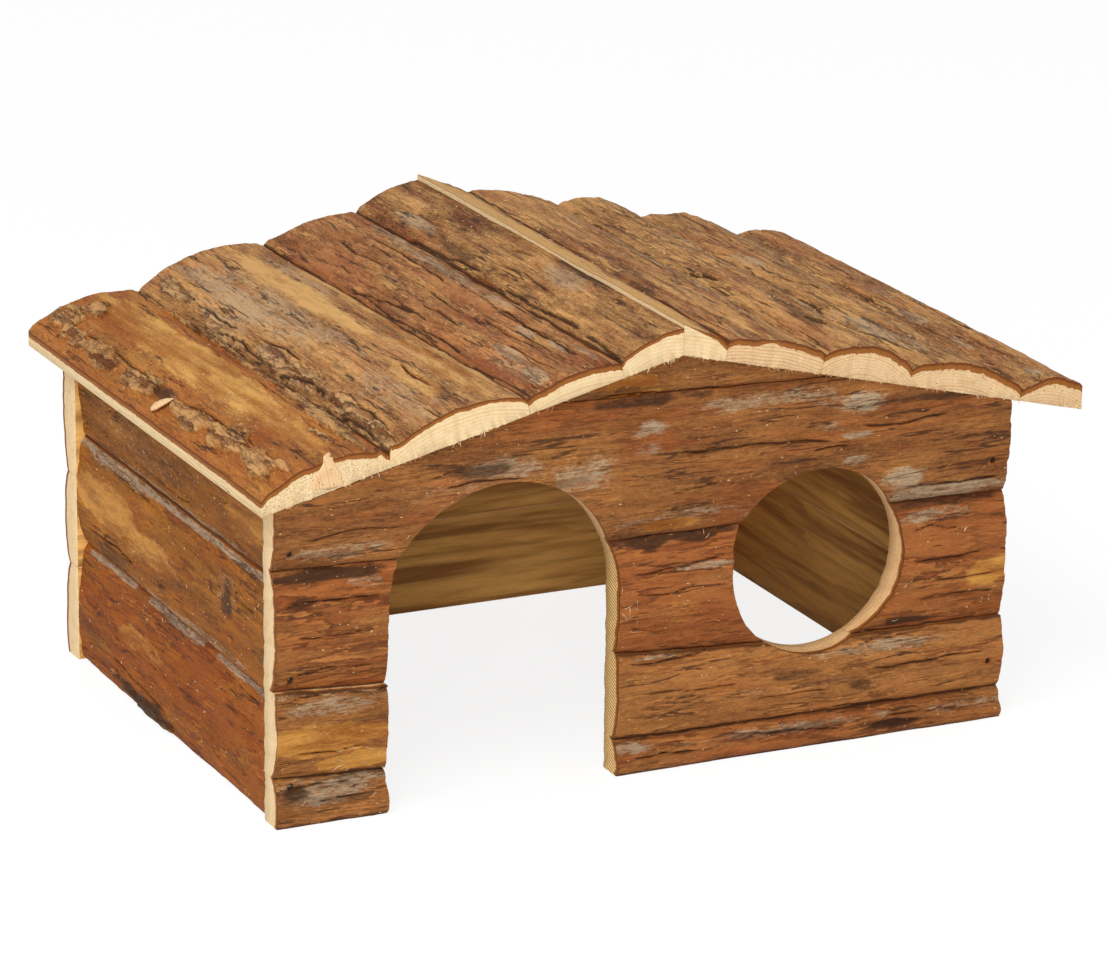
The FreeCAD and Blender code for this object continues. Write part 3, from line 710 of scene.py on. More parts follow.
def bark_skin_group():
    """Bark colour: tone and redness, peeled layers, then weathering, bare places, stains and cracks.

    The masks of the mesh cross one half at a patch's rim.  Fine noise is added before they are cut
    there, so that each rim is sharp and ragged.
    """
    colours = ("Deep", "Light", "Red", "Grey", "Bare low", "Bare high", "Stain", "Crack", "Chip")
    tree, source = open_group("bark skin", colours, ("Chips", "Contrast", "Grit", "Layers"))
    crack, bare, grey, _ = attribute(tree, "cover")
    tone, red, dark, _ = attribute(tree, "shade")
    flaky, crust, *_ = attribute(tree, "peel")
    *_, grain = attribute(tree, "grain")
    fibre = cloud(grain, 0.07, 2.2, 6.0, 0.68)
    blotch = cloud(grain, 0.05, 0.34, 5.0, 0.6)
    grit = cloud(grain, 0.55, 1.7, 4.0, 0.85)
    fleck = cloud(grain, 0.3, 0.85, 7.0, 0.75)

    # Thin layers that have peeled off in steps, each with its own tone, a lip lightened as a painted
    # highlight and a dark foot line as painted shadow.
    peel = cloud(grain, 0.026, 0.15, 8.0, 0.6) * source["Layers"]
    layer = calc("FLOOR", peel)
    part = peel - layer
    loose = ease(flaky + swing(blotch, 1.6), 0.3, 0.55)
    chance = wire("TexWhiteNoise", {"W": layer}, "Value", noise_dimensions="1D")
    foot_shadow = ease(part, 0.06, 0.4, 1.0, 0.0) * loose
    lip_with_highlight = ease(part, 0.55, 0.9) * loose

    sand = swing(grit, 1.0) * source["Grit"]
    rough = swing(fibre, 1.45) + swing(fleck, 1.1) + swing(tone, 1.0) + swing(blotch, 1.0)
    # The lifted lip of each layer is lightened here as a painted highlight.
    rough = rough * source["Contrast"] + sand + swing(chance, 0.42) * loose + lip_with_highlight * 0.25
    level = calc("ADD", rough, 0.5, clamp=True)
    colour = blend(level, source["Deep"], source["Light"])
    red_share = ease(red + swing(blotch, 1.6), 0.25, 0.95, 0.0, 0.85)
    colour = blend(red_share, colour, blend(0.45, source["Red"], colour))
    yellow = cloud(grain, 0.045, 0.28, 6.0, 0.65)
    colour = blend(ease(yellow, 0.52, 0.68, 0.0, 0.3), colour, source["Bare low"])

    weathered = blend(level, blend(0.5, source["Grey"], source["Deep"]), source["Grey"])
    patchy = swing(fleck, 2.4) + (swing(grit, 1.3) + swing(fibre, 1.2))
    near_grey = calc("MULTIPLY", grey, 1.6, clamp=True)
    grey_share = ease(grey + patchy * near_grey, 0.35, 1.15, 0.0, 0.82)
    colour = blend(grey_share, colour, weathered)

    # Crust: shards with a slanted top, each painted lighter towards one side as painted shade, and a dark gap
    # round each.
    crust_share = ease(crust + swing(fleck, 0.7), 0.44, 0.54, 0.0, 1.0)
    bend = cloud(grain, 0.1, 0.26, 7.0, 0.65, "Color")
    bend = wire("VectorMath", {0: bend, 1: (2.2, 2.2, 2.2)}, operation="MULTIPLY")
    place = wire("VectorMath", {0: bend, 1: stretched(grain, 0.075, 0.26)}, operation="ADD")
    shards, _ = scatter(place)
    margin = wire("TexVoronoi", {"Vector": place, "Scale": 1.0}, "Distance", feature="DISTANCE_TO_EDGE")
    across = wire("VectorMath", {0: place, 1: Wire(shards.outputs["Position"])}, operation="SUBTRACT")
    slant = wire("SeparateXYZ", {0: across}, 1)
    # The slant makes each shard darker on one side and lighter on the other: painted shade, over each shard's
    # random tone.
    shard_tone_and_painted_shade = slant * 1.1 + rough * 0.9 + swing(chance_of(shards), 0.7) + 0.5
    shard_gap = ease(margin + swing(fleck, 0.12), 0.0, 0.07, 1.0, 0.0) * crust_share
    crust_top = blend(0.4, source["Light"], source["Grey"])
    crust_colour = blend(ease(shard_tone_and_painted_shade, -0.1, 1.0), source["Deep"], crust_top)
    crust_colour = blend(0.2, crust_colour, colour)
    colour = blend(crust_share, colour, crust_colour)

    bare_level = tone * 0.55 + rough * 0.62
    bare_colour = blend(ease(bare_level, -0.15, 0.65), source["Bare low"], source["Bare high"])
    bare_share = ease(bare + swing(fleck, 0.9) - crust_share * 1.5, 0.3, 0.62)
    colour = blend(bare_share, colour, bare_colour)
    stain = dark + swing(fleck, 1.2)
    colour = blend(ease(stain, 0.3, 0.85, 0.0, 0.9), colour, source["Stain"])

    # Threads, splits, the painted shadow at the layers' feet and the mesh's cracks, then pale chips.
    thread = hairline(grain, 0.045, 0.5, 0.05, 0.5) * ease(blotch, 0.46, 0.56)
    split = hairline(grain, 0.014, 0.13, 0.022, 0.85) * ease(yellow, 0.44, 0.5, 1.0, 0.0)
    lines = larger(larger(thread, split), foot_shadow * 0.5) * ease(bare_share, 0.0, 1.0, 1.0, 0.35)
    lines = larger(lines, shard_gap * 0.6)
    torn = swing(grit, 1.2) + swing(fleck, 1.0) + 1.0
    gap = ease(crack * torn, 0.42, 0.66, 0.0, 0.85)
    colour = blend(larger(gap, lines), colour, source["Crack"])
    points, near = scatter(stretched(grain, 0.4, 0.9))
    chip = ease(near + swing(fleck, 0.9), 0.05, 0.14, 1.0, 0.0)
    chip = chip * ease(chance_of(points), 0.75, 0.85) * source["Chips"]
    colour = blend(chip, colour, source["Chip"])
    height = fibre + grit * 1.2 + fleck * 0.9 + part * loose * 0.8 + slant * crust_share * 1.5
    height = height - larger(lines, gap) * 1.2 + chip
    return close_group(tree, colour, height, ease(fibre, 0.3, 0.7, 0.62, 0.85))


def wood_group():
    """Sawn wood: yearly rings, pores, saw marks, and the bark layer seen from the side.

    On ends and edges the rings lie round the log's middle.  On flat faces, where Flat is 1, they
    show as long lines across the width instead, with brown stains along the grain.
    """
    colours = ("Wood", "Late", "Pore", "Inner bark", "Outer bark")
    numbers = ("Ring width", "Ring strength", "Bark share", "Saw lines", "Flat", "Dots")
    tree, source = open_group("sawn wood", colours, numbers)
    depth, pith, layer, _ = attribute(tree, "rings")
    _, bare, *_ = attribute(tree, "cover")
    u, v, w, grain = attribute(tree, "grain")
    warp = cloud(grain, 0.008, 0.05, 3.0, 0.5)
    flow = cloud(grain, 0.006, 0.035, 4.0, 0.55)
    place = wire("Mix", {0: source["Flat"], 2: pith + swing(warp, 3.0), 3: v + swing(flow, 46.0)})
    year = place / source["Ring width"]
    whole = calc("FLOOR", year)
    share = year - whole
    chance = wire("TexWhiteNoise", {"W": whole}, "Value", noise_dimensions="1D")
    late = ease(share, 0.35, 0.93) * ease(share, 0.94, 1.0, 1.0, 0.0) * (chance * 0.8 + 0.3)
    late = calc("MULTIPLY", late, source["Ring strength"], clamp=True)
    pores = cloud(grain, 0.14, 3.4, 3.0, 0.65)
    soft = cloud(grain, 0.02, 0.3, 5.0, 0.6)
    colour = blend(late, source["Wood"], source["Late"])
    colour = blend(ease(soft, 0.46, 0.74, 0.0, 0.5), colour, source["Late"])
    colour = blend(ease(pores, 0.54, 0.72, 0.0, 0.8), colour, source["Pore"])
    stain = cloud(grain, 0.007, 0.1, 4.0, 0.6)
    colour = blend(ease(stain, 0.46, 0.64, 0.0, 0.75) * source["Flat"], colour, source["Outer bark"])

    _, near = scatter(stretched(grain, 0.05, 2.0))
    dot = ease(near + swing(soft, 0.5), 0.2, 0.42, 1.0, 0.0)
    colour = blend(dot * source["Dots"], colour, source["Pore"])
    points, near = scatter(stretched(grain, 0.1, 0.55))
    speck = ease(near, 0.08, 0.16, 0.8, 0.0) * ease(chance_of(points), 0.8, 0.86)
    colour = blend(speck * (1.0 - source["Flat"]), colour, source["Outer bark"])
    lines = calc("SINE", v * 5.6 + w * 2.0 + u * 6.5) * source["Saw lines"]
    colour = blend(ease(lines, -0.2, 0.6, 0.0, 0.75), colour, source["Pore"])

    ragged = cloud(grain, 0.4, 1.1, 5.0, 0.7)
    thick = (ragged * 0.6 + 0.7) * (layer * source["Bark share"]) * (1.0 - bare * 0.92)
    share_in = depth / thick
    skin = blend(ease(share_in, 0.05, 0.6), source["Outer bark"], source["Inner bark"])
    skin = blend(ease(pores, 0.45, 0.65, 0.0, 0.4), skin, source["Outer bark"])
    colour = blend(ease(share_in, 0.96, 1.04), skin, colour)
    return close_group(tree, colour, pores * -0.8 + lines * 0.3, ease(pores, 0.3, 0.7, 0.6, 0.8))


def emptied_tree(owner):
    """The node tree of a material or a world, with no node in it."""
    owner.use_nodes = True
    owner.node_tree.nodes.clear()
    return owner.node_tree


def finish_from(name, group, values, relief):
    """A material whose colour, roughness and bump come from a group with its own values."""
    material = bpy.data.materials.new(name)
    tree = emptied_tree(material)
    source = node(tree, "Group", values, node_tree=group)
    colour, height, roughness = map(Wire, source.outputs)
    bump = wire("Bump", {"Height": height, "Distance": relief, "Strength": 0.6})
    shader = wire("BsdfPrincipled", {
        "Base Color": colour, "Roughness": roughness, "Normal": bump, "Specular IOR Level": 0.2,
    })
    node(tree, "OutputMaterial", {"Surface": shader})
    return material


BARK_SKIN = bark_skin_group()
SAWN_WOOD = wood_group()
ROOF_RELIEF = 0.0009
WALL_RELIEF = 0.0007
ROOF_VALUES = {
    "Deep": paint(106, 56, 24), "Light": paint(233, 174, 106), "Red": paint(184, 100, 56),
    "Grey": paint(204, 174, 138), "Bare low": paint(170, 98, 34), "Bare high": paint(232, 180, 110),
    "Stain": paint(70, 42, 22), "Crack": paint(52, 30, 15), "Chip": paint(244, 216, 164),
    "Chips": 0.75, "Contrast": 0.95, "Grit": 1.9, "Layers": 9.0,
}
AMBER_VALUES = ROOF_VALUES | {
    "Deep": paint(104, 54, 18), "Light": paint(234, 168, 84), "Red": paint(188, 96, 36),
    "Bare low": paint(174, 104, 38), "Bare high": paint(238, 180, 98), "Contrast": 0.7,
}
WALL_VALUES = {
    "Deep": paint(90, 48, 22), "Light": paint(202, 134, 70), "Red": paint(166, 80, 34),
    "Grey": paint(198, 178, 146), "Bare low": paint(148, 84, 28), "Bare high": paint(220, 156, 74),
    "Stain": paint(62, 38, 20), "Crack": paint(70, 40, 20), "Chip": paint(244, 212, 152),
    "Chips": 0.92, "Contrast": 0.52, "Grit": 1.5, "Layers": 8.0,
}
# The wall bark with less blue, for the left wall, whose light renders it bluer than the front: this warmer
# tint offsets that light and is painted light.
SIDE_VALUES = WALL_VALUES | {
    "Deep": paint(88, 43, 10), "Light": paint(202, 128, 40), "Red": paint(168, 71, 10),
    "Grey": paint(200, 182, 154),
}
ROOF_BARK = finish_from("roof bark", BARK_SKIN, ROOF_VALUES, ROOF_RELIEF)
AMBER_BARK = finish_from("amber roof bark", BARK_SKIN, AMBER_VALUES, ROOF_RELIEF)
WALL_BARK = finish_from("wall bark", BARK_SKIN, WALL_VALUES, WALL_RELIEF)
SIDE_BARK = finish_from("side wall bark tinted against its light", BARK_SKIN, SIDE_VALUES, WALL_RELIEF)


def sawn_wood(name, relief, wood=(248, 222, 174), late=(226, 184, 130), pore=(194, 150, 102), **numbers):
    """A sawn finish from the colours of early wood, late wood and pores, and from its numbers."""
    values = {
        "Wood": paint(*wood), "Late": paint(*late), "Pore": paint(*pore),
        "Inner bark": paint(158, 96, 38), "Outer bark": paint(104, 52, 20),
        "Ring width": 1.15, "Ring strength": 0.7, "Bark share": 1.0,
        "Saw lines": 0.0, "Flat": 0.0, "Dots": 0.0,
    }
    values.update({label.replace("_", " "): value for label, value in numbers.items()})
    return finish_from(name, SAWN_WOOD, values, relief)


CREAM_END = sawn_wood("cream sawn end", 0.0002)
POROUS_END = sawn_wood("porous sawn end", 0.0002, pore=(176, 128, 82), Ring_strength=0.15, Dots=0.85)
# A darker copy of the sawn end wood for the right roof's slabs, whose ends get less light: its darkness is
# painted shade, its more orange tan the wood's own.
SHADED_TAN_END = sawn_wood(
    "tan sawn end with painted shade", 0.0002, (244, 210, 162), (208, 158, 104), (176, 128, 84),
    Ring_width=0.95, Ring_strength=0.75, Dots=0.3,
)
ROUGH_EDGE = sawn_wood(
    "rough sawn edge", 0.0003, (252, 208, 150), (228, 170, 112), (170, 116, 70),
    Ring_width=1.6, Ring_strength=0.5, Bark_share=1.1, Saw_lines=0.12,
)
CUT_EDGE = sawn_wood(
    "sawn edge", 0.0002, (255, 222, 152), (240, 184, 114), (156, 98, 48),
    Ring_width=1.6, Ring_strength=0.5, Bark_share=1.1, Saw_lines=1.0,
)
INNER_FACE = sawn_wood(
    "planed inner face", 0.0001, (242, 188, 106), (160, 100, 46), (194, 138, 74),
    Ring_width=8.0, Ring_strength=0.5, Bark_share=0.01, Flat=1.0,
)
KNOT_WOOD = sawn_wood(
    "knot wood", 0.0003, (246, 210, 160), (214, 160, 110), (190, 138, 92),
    Ring_width=1.9, Ring_strength=0.6, Bark_share=0.01,
)
PALE_ROOF = {
    "bark": ROOF_BARK, "start": CREAM_END, "end": CREAM_END, "edge": CREAM_END,
    "inner": INNER_FACE, "slot": "roof_bark_wood",
}
EAVE_ROOF = PALE_ROOF | {"start": POROUS_END, "bark": AMBER_BARK}
SHADED_TAN_ROOF = PALE_ROOF | {"start": SHADED_TAN_END, "end": SHADED_TAN_END, "edge": SHADED_TAN_END}
WALL_FINISH = {
    "bark": WALL_BARK, "start": CREAM_END, "end": CREAM_END, "edge": ROUGH_EDGE,
    "inner": INNER_FACE, "slot": "wall_bark_wood",
}
SIDE_FINISH = WALL_FINISH | {"bark": SIDE_BARK}
DOOR_AT_START = WALL_FINISH | {"start": CUT_EDGE}
DOOR_AT_END = WALL_FINISH | {"end": CUT_EDGE}
WINDOW_AT_START = WALL_FINISH | {"start": ROUGH_EDGE}


# ------------------------------------------------------------------------------------------ looks

def look(seed, tone, red, flaky, furrows, **marks):
    """How the bark of one slab looks.

    tone, red, flaky and furrows are general levels.  bare, crust, grey, dark, light, flakes and
    deep are patches (u, v, half length, half width, strength), cracks are (half width, points),
    knots are (u, v, radius) and pits are (u, v).  pale_rim is how weathered the upper edge is,
    rough_high the width of crust along it, seams how dark the slab's edges are, and bark_depth the
    thickness of the bark on the sawn ends.
    """
    return {"seed": seed, "tone": tone, "red": red, "flaky": flaky, "furrows": furrows, **marks}


LOOKS = {
    "left_roof_board_1": look(
        11, 0.41, 0.25, 0.25, 0.3, bark_depth=1.3,
        cracks=[(0.6, ((26, 18), (44, 17.2), (62, 18.4), (90, 17.9))),
            (0.7, ((96, 17.3), (134, 19.2), (160, 20.6))), (0.6, ((-2, 19.4), (14, 18.6), (30, 17.7))),
            (0.35, ((90, 4.5), (98, 5.5), (106, 7.5))), (0.4, ((60, 13), (84, 12), (102, 13.5)))],
        flakes=[(157, 15, 14, 2.6, 1)],
        dark=[(64, 0.5, 24, 1.8, 0.8), (130, 15.5, 26, 2.4, 0.6), (30, 9, 12, 3, 0.4)],
        grey=[(66, 6, 14, 4.2, 0.85), (176, 8, 16, 4, 0.4)],
    ),
    "left_roof_board_2": look(
        12, 0.52, 0.78, 0.45, 0.7, bark_depth=2,
        cracks=[(0.6, ((84, 44.5), (102, 47.2), (113, 49.5), (132, 51.5))),
            (0.55, ((94, 30), (118, 28.6), (146, 28.4), (166, 28.8))),
            (0.7, ((6, 26.2), (24, 27.4), (46, 27.8), (76, 26.6))),
            (0.5, ((2, 36.4), (31, 38.2), (54, 39.4))), (0.55, ((44, 49.9), (64, 48.9), (84, 49.8))),
            (0.45, ((20, 33), (48, 34.5), (70, 33.6))), (0.5, ((128, 36), (150, 38), (172, 37.2))),
            (0.4, ((60, 42), (82, 41), (98, 42.4)))],
        flakes=[(24, 28.6, 9, 1.7, 1), (41, 30.6, 7, 1.5, 1), (10, 43, 10, 2.8, 1),
            (33, 41, 12, 2.2, 0.9), (75, 24.2, 9, 1.7, 1), (118, 25.2, 30, 2, 1),
            (158, 23.6, 18, 1.8, 0.9), (12, 24.4, 10, 1.3, 0.9)],
        grey=[(110, 24.5, 50, 3.2, 0.8), (20, 44, 22, 4, 0.7)],
        dark=[(70, 49.5, 70, 1.2, 0.5), (20, 34, 16, 2, 0.5)],
    ),
    "left_roof_board_3": look(
        13, 0.62, 0.3, 0.15, 0.2, bark_depth=1.4, light=[(130, 66, 54, 5, 0.6), (140, 82, 40, 4, 0.4)],
        bare=[(130, 66, 50, 4.6, 1), (110, 53.5, 90, 2.6, 0.9), (36, 60, 40, 5, 0.6),
            (30, 72, 22, 4, 0.55)],
        cracks=[(0.6, ((-1, 95), (21, 94), (36, 95.5), (58, 94.2))),
            (0.6, ((46, 93), (60, 92), (74, 93.4), (88, 95.5))),
            (0.6, ((92, 94.5), (112, 93.6), (136, 95.5))), (0.5, ((78, 88), (95, 87), (113, 90))),
            (0.45, ((20, 69.8), (33, 70.4), (52, 68.2))), (0.6, ((8, 90), (26, 89), (44, 91.2))),
            (0.5, ((120, 90), (140, 91.5), (160, 91)))],
        crust=[(30, 92.5, 30, 2.6, 1), (80, 92, 26, 3.2, 1), (130, 94, 22, 2.4, 1),
            (172, 92, 12, 3, 0.9)],
        flakes=[(96, 91, 8, 2.4, 1), (140, 92, 10, 1.8, 0.9)],
        grey=[(140, 83, 50, 7.5, 0.9), (120, 76, 60, 5, 0.8), (30, 78, 30, 8, 0.7),
            (150, 60, 34, 3.4, 0.8), (60, 63, 30, 4, 0.5)],
        dark=[(90, 95.5, 95, 1.1, 0.45), (157, 78, 8, 3, 0.5), (120, 78, 6, 3, 0.4)],
        knots=[(157, 77, 2.2), (119, 77, 2)],
    ),
    "left_roof_board_4": look(
        14, 0.43, 0.85, 0.15, 0.15, bark_depth=1.8, seams=0.5,
        bare=[(96, 112.5, 62, 8.5, 1), (36, 112, 34, 6, 0.7), (156, 111, 34, 7, 0.8)],
        crust=[(166, 131, 10, 2.8, 1), (141, 131.5, 19, 3, 1), (112, 130.8, 15, 3.2, 1),
            (70, 130, 17, 3.6, 1), (44, 129.5, 15, 4, 1), (20, 128.8, 13, 3.8, 1), (177, 120, 7, 5, 1),
            (184, 128, 9, 4, 1), (90, 98.2, 100, 1.7, 1), (28, 101, 24, 3.2, 0.9),
            (20, 108, 10, 1.5, 0.8)],
        cracks=[(0.6, ((30, 126.4), (47, 126.8), (72, 125.4), (87, 129))),
            (0.6, ((100, 128.4), (119, 127.6), (148, 127.4), (170, 128))),
            (0.4, ((10, 105), (24, 106.6), (40, 106))), (0.35, ((52, 103), (70, 102), (86, 103.2)))],
        dark=[(94, 128, 7, 3, 0.8), (10, 101, 12, 2, 0.5), (186, 112, 8, 3, 0.4)],
        knots=[(94, 128.5, 2.6)], grey=[(60, 98.5, 70, 2, 0.8), (16, 108, 12, 1.6, 0.7)],
    ),
    "right_roof_board_1": look(
        15, 0.6, 0.3, 0.1, 0.1, bark_depth=1.8, seams=0.3, bare=[(96, 1, 200, 8.5, 1)],
        light=[(96, 0, 200, 8, 1)], cracks=[(0.4, ((30, 12.4), (70, 11.6), (110, 13)))],
        dark=[(60, 13.5, 60, 1.2, 0.6)],
    ),
    "right_roof_board_2": look(
        16, 0.66, 0.5, 0.5, 0.7, bark_depth=2,
        cracks=[(0.6, ((9, 19), (22, 21.4), (34, 22.8), (50, 21), (68, 19.4))),
            (0.45, ((60, 28), (92, 26), (124, 27))), (0.5, ((20, 33), (44, 35), (70, 34.4))),
            (0.45, ((96, 38), (122, 36.4), (150, 37))), (0.5, ((6, 42), (26, 43.8), (50, 43.4))),
            (0.4, ((130, 22), (150, 21), (172, 22.5)))],
        flakes=[(156, 38, 4.5, 1.6, 1), (100, 44.6, 46, 1.5, 0.9), (40, 38, 9, 1.6, 0.8)],
        grey=[(90, 44.4, 60, 3, 0.7), (156, 38, 5, 2, 1)],
        dark=[(100, 47.5, 60, 1.2, 0.7), (60, 16.5, 60, 1.3, 0.6)],
        bare=[(12, 28, 16, 4, 0.6), (60, 24, 20, 2, 0.5)],
    ),
    "right_roof_board_3": look(
        17, 0.69, 0.35, 0.5, 0.7, bark_depth=2.2,
        cracks=[(0.9, ((13, 69.5), (22, 66), (30, 61.5), (40, 54))),
            (0.7, ((80, 54), (90, 50.5), (98, 50))), (0.6, ((160, 62), (172, 59.5), (184, 58))),
            (0.5, ((44, 66), (66, 64), (90, 66))), (0.45, ((96, 58), (120, 60), (144, 59))),
            (0.6, ((66, 75.5), (76, 76.4), (86, 76)))],
        deep=[(31, 59.5, 7, 2.4, 0.9), (86, 52, 5, 1.5, 0.8)],
        dark=[(36, 57, 12, 4, 0.6), (90, 53, 14, 2.5, 0.5)],
        flakes=[(60, 70, 16, 2, 0.9), (136, 67, 18, 2.4, 0.8), (112, 73, 12, 1.8, 0.8)],
        grey=[(60, 72, 40, 4, 0.7), (120, 62, 40, 4, 0.5)], bare=[(14, 58, 10, 5, 0.5)],
    ),
    "right_roof_board_4": look(
        18, 0.69, 0.3, 0.5, 0.7, bark_depth=2.2,
        cracks=[(0.7, ((5, 85), (18, 84), (30, 82.4), (42, 79.6), (58, 80))),
            (0.8, ((63, 81.4), (76, 82.4), (86, 81.6))), (0.7, ((132, 85.5), (141, 82.5), (150, 80))),
            (0.5, ((14, 104), (40, 101.4), (76, 97), (95, 90.5), (116, 82))),
            (0.6, ((84, 111), (104, 110.4), (126, 110))), (0.4, ((30, 93), (56, 92), (80, 88.6))),
            (0.4, ((60, 105.5), (90, 104), (116, 105))), (0.5, ((130, 97), (152, 95), (176, 96)))],
        flakes=[(40, 84.4, 16, 2.6, 1), (124, 87.5, 7, 2.2, 1), (22, 89, 9, 2.2, 0.9),
            (150, 104, 14, 2.2, 0.8)],
        grey=[(40, 86, 26, 5, 0.9), (124, 87, 10, 3, 0.8), (150, 105, 40, 4, 0.6), (80, 99, 40, 4, 0.5)],
        dark=[(50, 89, 7, 1.6, 0.7), (132, 111, 6, 1.5, 0.8)],
    ),
    "right_roof_board_5": look(
        19, 0.68, 0.45, 0.6, 0.6, bark_depth=2.2,
        cracks=[(0.6, ((35, 126.4), (44, 127.6), (55, 129))),
            (0.5, ((22, 129.4), (28, 127.4), (36, 127))), (0.6, ((8, 117), (17, 116.2), (24, 116.6))),
            (0.5, ((30, 134), (56, 133.6), (100, 132.8))), (0.4, ((70, 121.6), (96, 120.4), (128, 121)))],
        deep=[(11, 116.6, 3, 1.2, 0.9)],
        flakes=[(78, 122, 9, 2.2, 1), (8, 124.6, 5, 1.8, 1), (110, 126, 12, 2.2, 0.8),
            (46, 121, 8, 1.8, 0.9)],
        grey=[(78, 122, 14, 3, 0.8), (150, 124, 20, 4, 0.5)], dark=[(16, 117, 8, 2, 0.7)],
    ),
    "front_bottom_board_left": look(
        31, 0.42, 0.15, 0.5, 0.22, bark_depth=1.6, grey=[(16, 10, 18, 4, 0.9), (28, 12, 9, 2.4, 0.8)],
        dark=[(6, 10, 6, 3, 0.8), (22, 7, 14, 1.6, 0.6)],
        cracks=[(0.35, ((2, 11.6), (14, 12.2), (26, 11.4))), (0.32, ((10, 7), (20, 8), (34, 7.6)))],
        flakes=[(16, 9.6, 7, 1.5, 0.9)], pits=[(5.2, 12)],
    ),
    "front_bottom_board_right": look(
        32, 0.42, 0.5, 0.4, 0.22, bark_depth=1.6,
        cracks=[(0.35, ((111, 4.4), (124, 4.8), (138, 5))), (0.42, ((150, 7.2), (168, 5.8), (190, 4.2))),
            (0.28, ((196, 6.6), (214, 6), (236, 5.4)))],
        deep=[(203, 3.4, 10, 1.3, 0.8)], dark=[(203, 3.6, 12, 2, 0.8), (160, 6.4, 36, 1.3, 0.6)],
        grey=[(114, 8.4, 7, 1.8, 1), (168, 7, 34, 1.6, 0.8), (225, 6, 14, 1.6, 0.6)],
    ),
    "front_middle_board_left": look(
        33, 0.6, 0.3, 0.25, 0.22, bark_depth=1.6, rough_high=1.2,
        bare=[(12, 26, 26, 5, 0.8), (28, 18, 14, 3, 0.75)], grey=[(20, 36, 22, 2.6, 0.75)],
        cracks=[(0.35, ((0, 38.6), (16, 39.4), (34, 38.4))), (0.28, ((2, 23), (18, 22), (33, 22.6)))],
    ),
    "front_middle_board_right": look(
        34, 0.78, 0.3, 0.4, 0.22, bark_depth=1.6,
        cracks=[(0.39, ((188, 22.8), (203, 21.6), (220, 22.8), (240, 21.8))),
            (0.39, ((174, 10.8), (192, 10.4), (210, 9), (238, 7))),
            (0.42, ((109, 36), (120, 34.2), (133, 34.8), (145, 36))),
            (0.28, ((112, 25), (134, 24), (154, 24.6))), (0.28, ((150, 17.6), (166, 18.2), (184, 17.6))),
            (0.32, ((186, 29.4), (196, 31), (222, 31.6)))],
        flakes=[(202, 29.4, 12, 1.7, 0.9), (122, 36, 10, 1.2, 0.9)],
        grey=[(200, 29, 26, 2.4, 0.8), (160, 20, 30, 2, 0.4)],
        dark=[(190, 17.6, 5, 1.6, 0.7), (150, 14, 30, 1.6, 0.4), (168, 24, 9, 1.5, 0.6)],
        pits=[(235, 19)],
    ),
    "front_upper_board_left": look(
        35, 0.52, 0.85, 0.6, 0.22, bark_depth=1.8,
        cracks=[(0.42, ((0, 67), (14, 68.4), (30, 67.6), (36, 67.8))),
            (0.35, ((2, 45.4), (16, 47.6), (35, 46.8))), (0.28, ((4, 58), (18, 57), (30, 57.8)))],
        flakes=[(29, 72, 7, 3.2, 0.6)],
        dark=[(15, 75.5, 22, 1.8, 0.9), (12, 68.5, 8, 1.3, 0.6), (30, 44, 12, 1.6, 0.5)],
        pits=[(5.2, 45)],
    ),
    "front_upper_board_centre": look(
        36, 0.56, 0.85, 0.45, 0.22, bark_depth=1.8,
        cracks=[(0.42, ((109, 63.2), (117, 61.8), (130, 63.4), (140, 64.6), (148, 65.4))),
            (0.28, ((112, 57), (124, 56), (138, 57.6)))],
        flakes=[(137, 63, 10, 1.1, 0.9)], dark=[(128, 72, 24, 2, 0.8), (118, 41, 12, 1.5, 0.5)],
        bare=[(130, 50, 8, 5, 0.4)],
    ),
    "front_upper_board_right": look(
        37, 0.58, 0.8, 0.5, 0.22, bark_depth=1.8,
        cracks=[(0.45, ((204, 55.2), (216, 54.2), (226, 54.6), (236, 55.6))),
            (0.35, ((206, 41.6), (222, 42.6), (240, 41.6))), (0.32, ((206, 63), (214, 65), (226, 62))),
            (0.28, ((212, 48), (226, 47), (240, 48)))],
        flakes=[(221, 68.5, 7, 2.2, 0.6)], dark=[(207, 35.5, 7, 1.5, 1), (220, 71.4, 22, 1.6, 0.7)],
        grey=[(211, 68, 7, 2, 0.9)], bare=[(234, 48, 9, 5, 0.7)],
    ),
    "front_gable_board": look(
        38, 0.36, 0.42, 0.22, 0.22, bark_depth=1.6, seams=0.55,
        cracks=[(0.45, ((121, 99.4), (130, 98.6), (140, 98.6), (156, 98.4), (170, 96.8), (186, 95.2))),
            (0.35, ((171, 94.6), (178, 94.2), (186, 94.2))),
            (0.49, ((186, 100.4), (202, 99.2), (213, 100.4), (221, 100.6))),
            (0.42, ((200, 78.6), (216, 77.6), (240, 78.4))), (0.28, ((6, 86), (24, 88), (44, 87))),
            (0.28, ((50, 96.5), (62, 98), (80, 97.4))), (0.24, ((122, 86), (138, 88), (156, 86.4)))],
        flakes=[(189, 107.6, 6, 3, 1), (204, 81.4, 7, 3.2, 1), (222, 76, 18, 1.9, 0.9)],
        grey=[(188, 108, 9, 4, 1), (203, 81, 9, 4, 1), (218, 75.6, 24, 3, 0.95), (186, 97.4, 5, 1.2, 0.9),
            (187, 89.5, 5, 1.6, 0.8), (118, 107.4, 7, 2, 0.9), (119, 101, 6, 2.6, 0.7),
            (70, 101, 14, 3.6, 0.75), (97, 96, 10, 5.6, 0.8), (20, 82, 20, 2.4, 0.7),
            (178, 101, 6, 2, 0.6), (176, 110, 7, 3, 0.6), (128, 79, 26, 2, 0.6), (166, 76, 20, 2, 0.5),
            (158, 111, 22, 3, 0.7), (60, 96, 30, 5, 0.45)],
        dark=[(118, 115.5, 17, 2, 0.75), (64, 101, 10, 2.2, 0.7), (94, 94, 8, 2, 0.5),
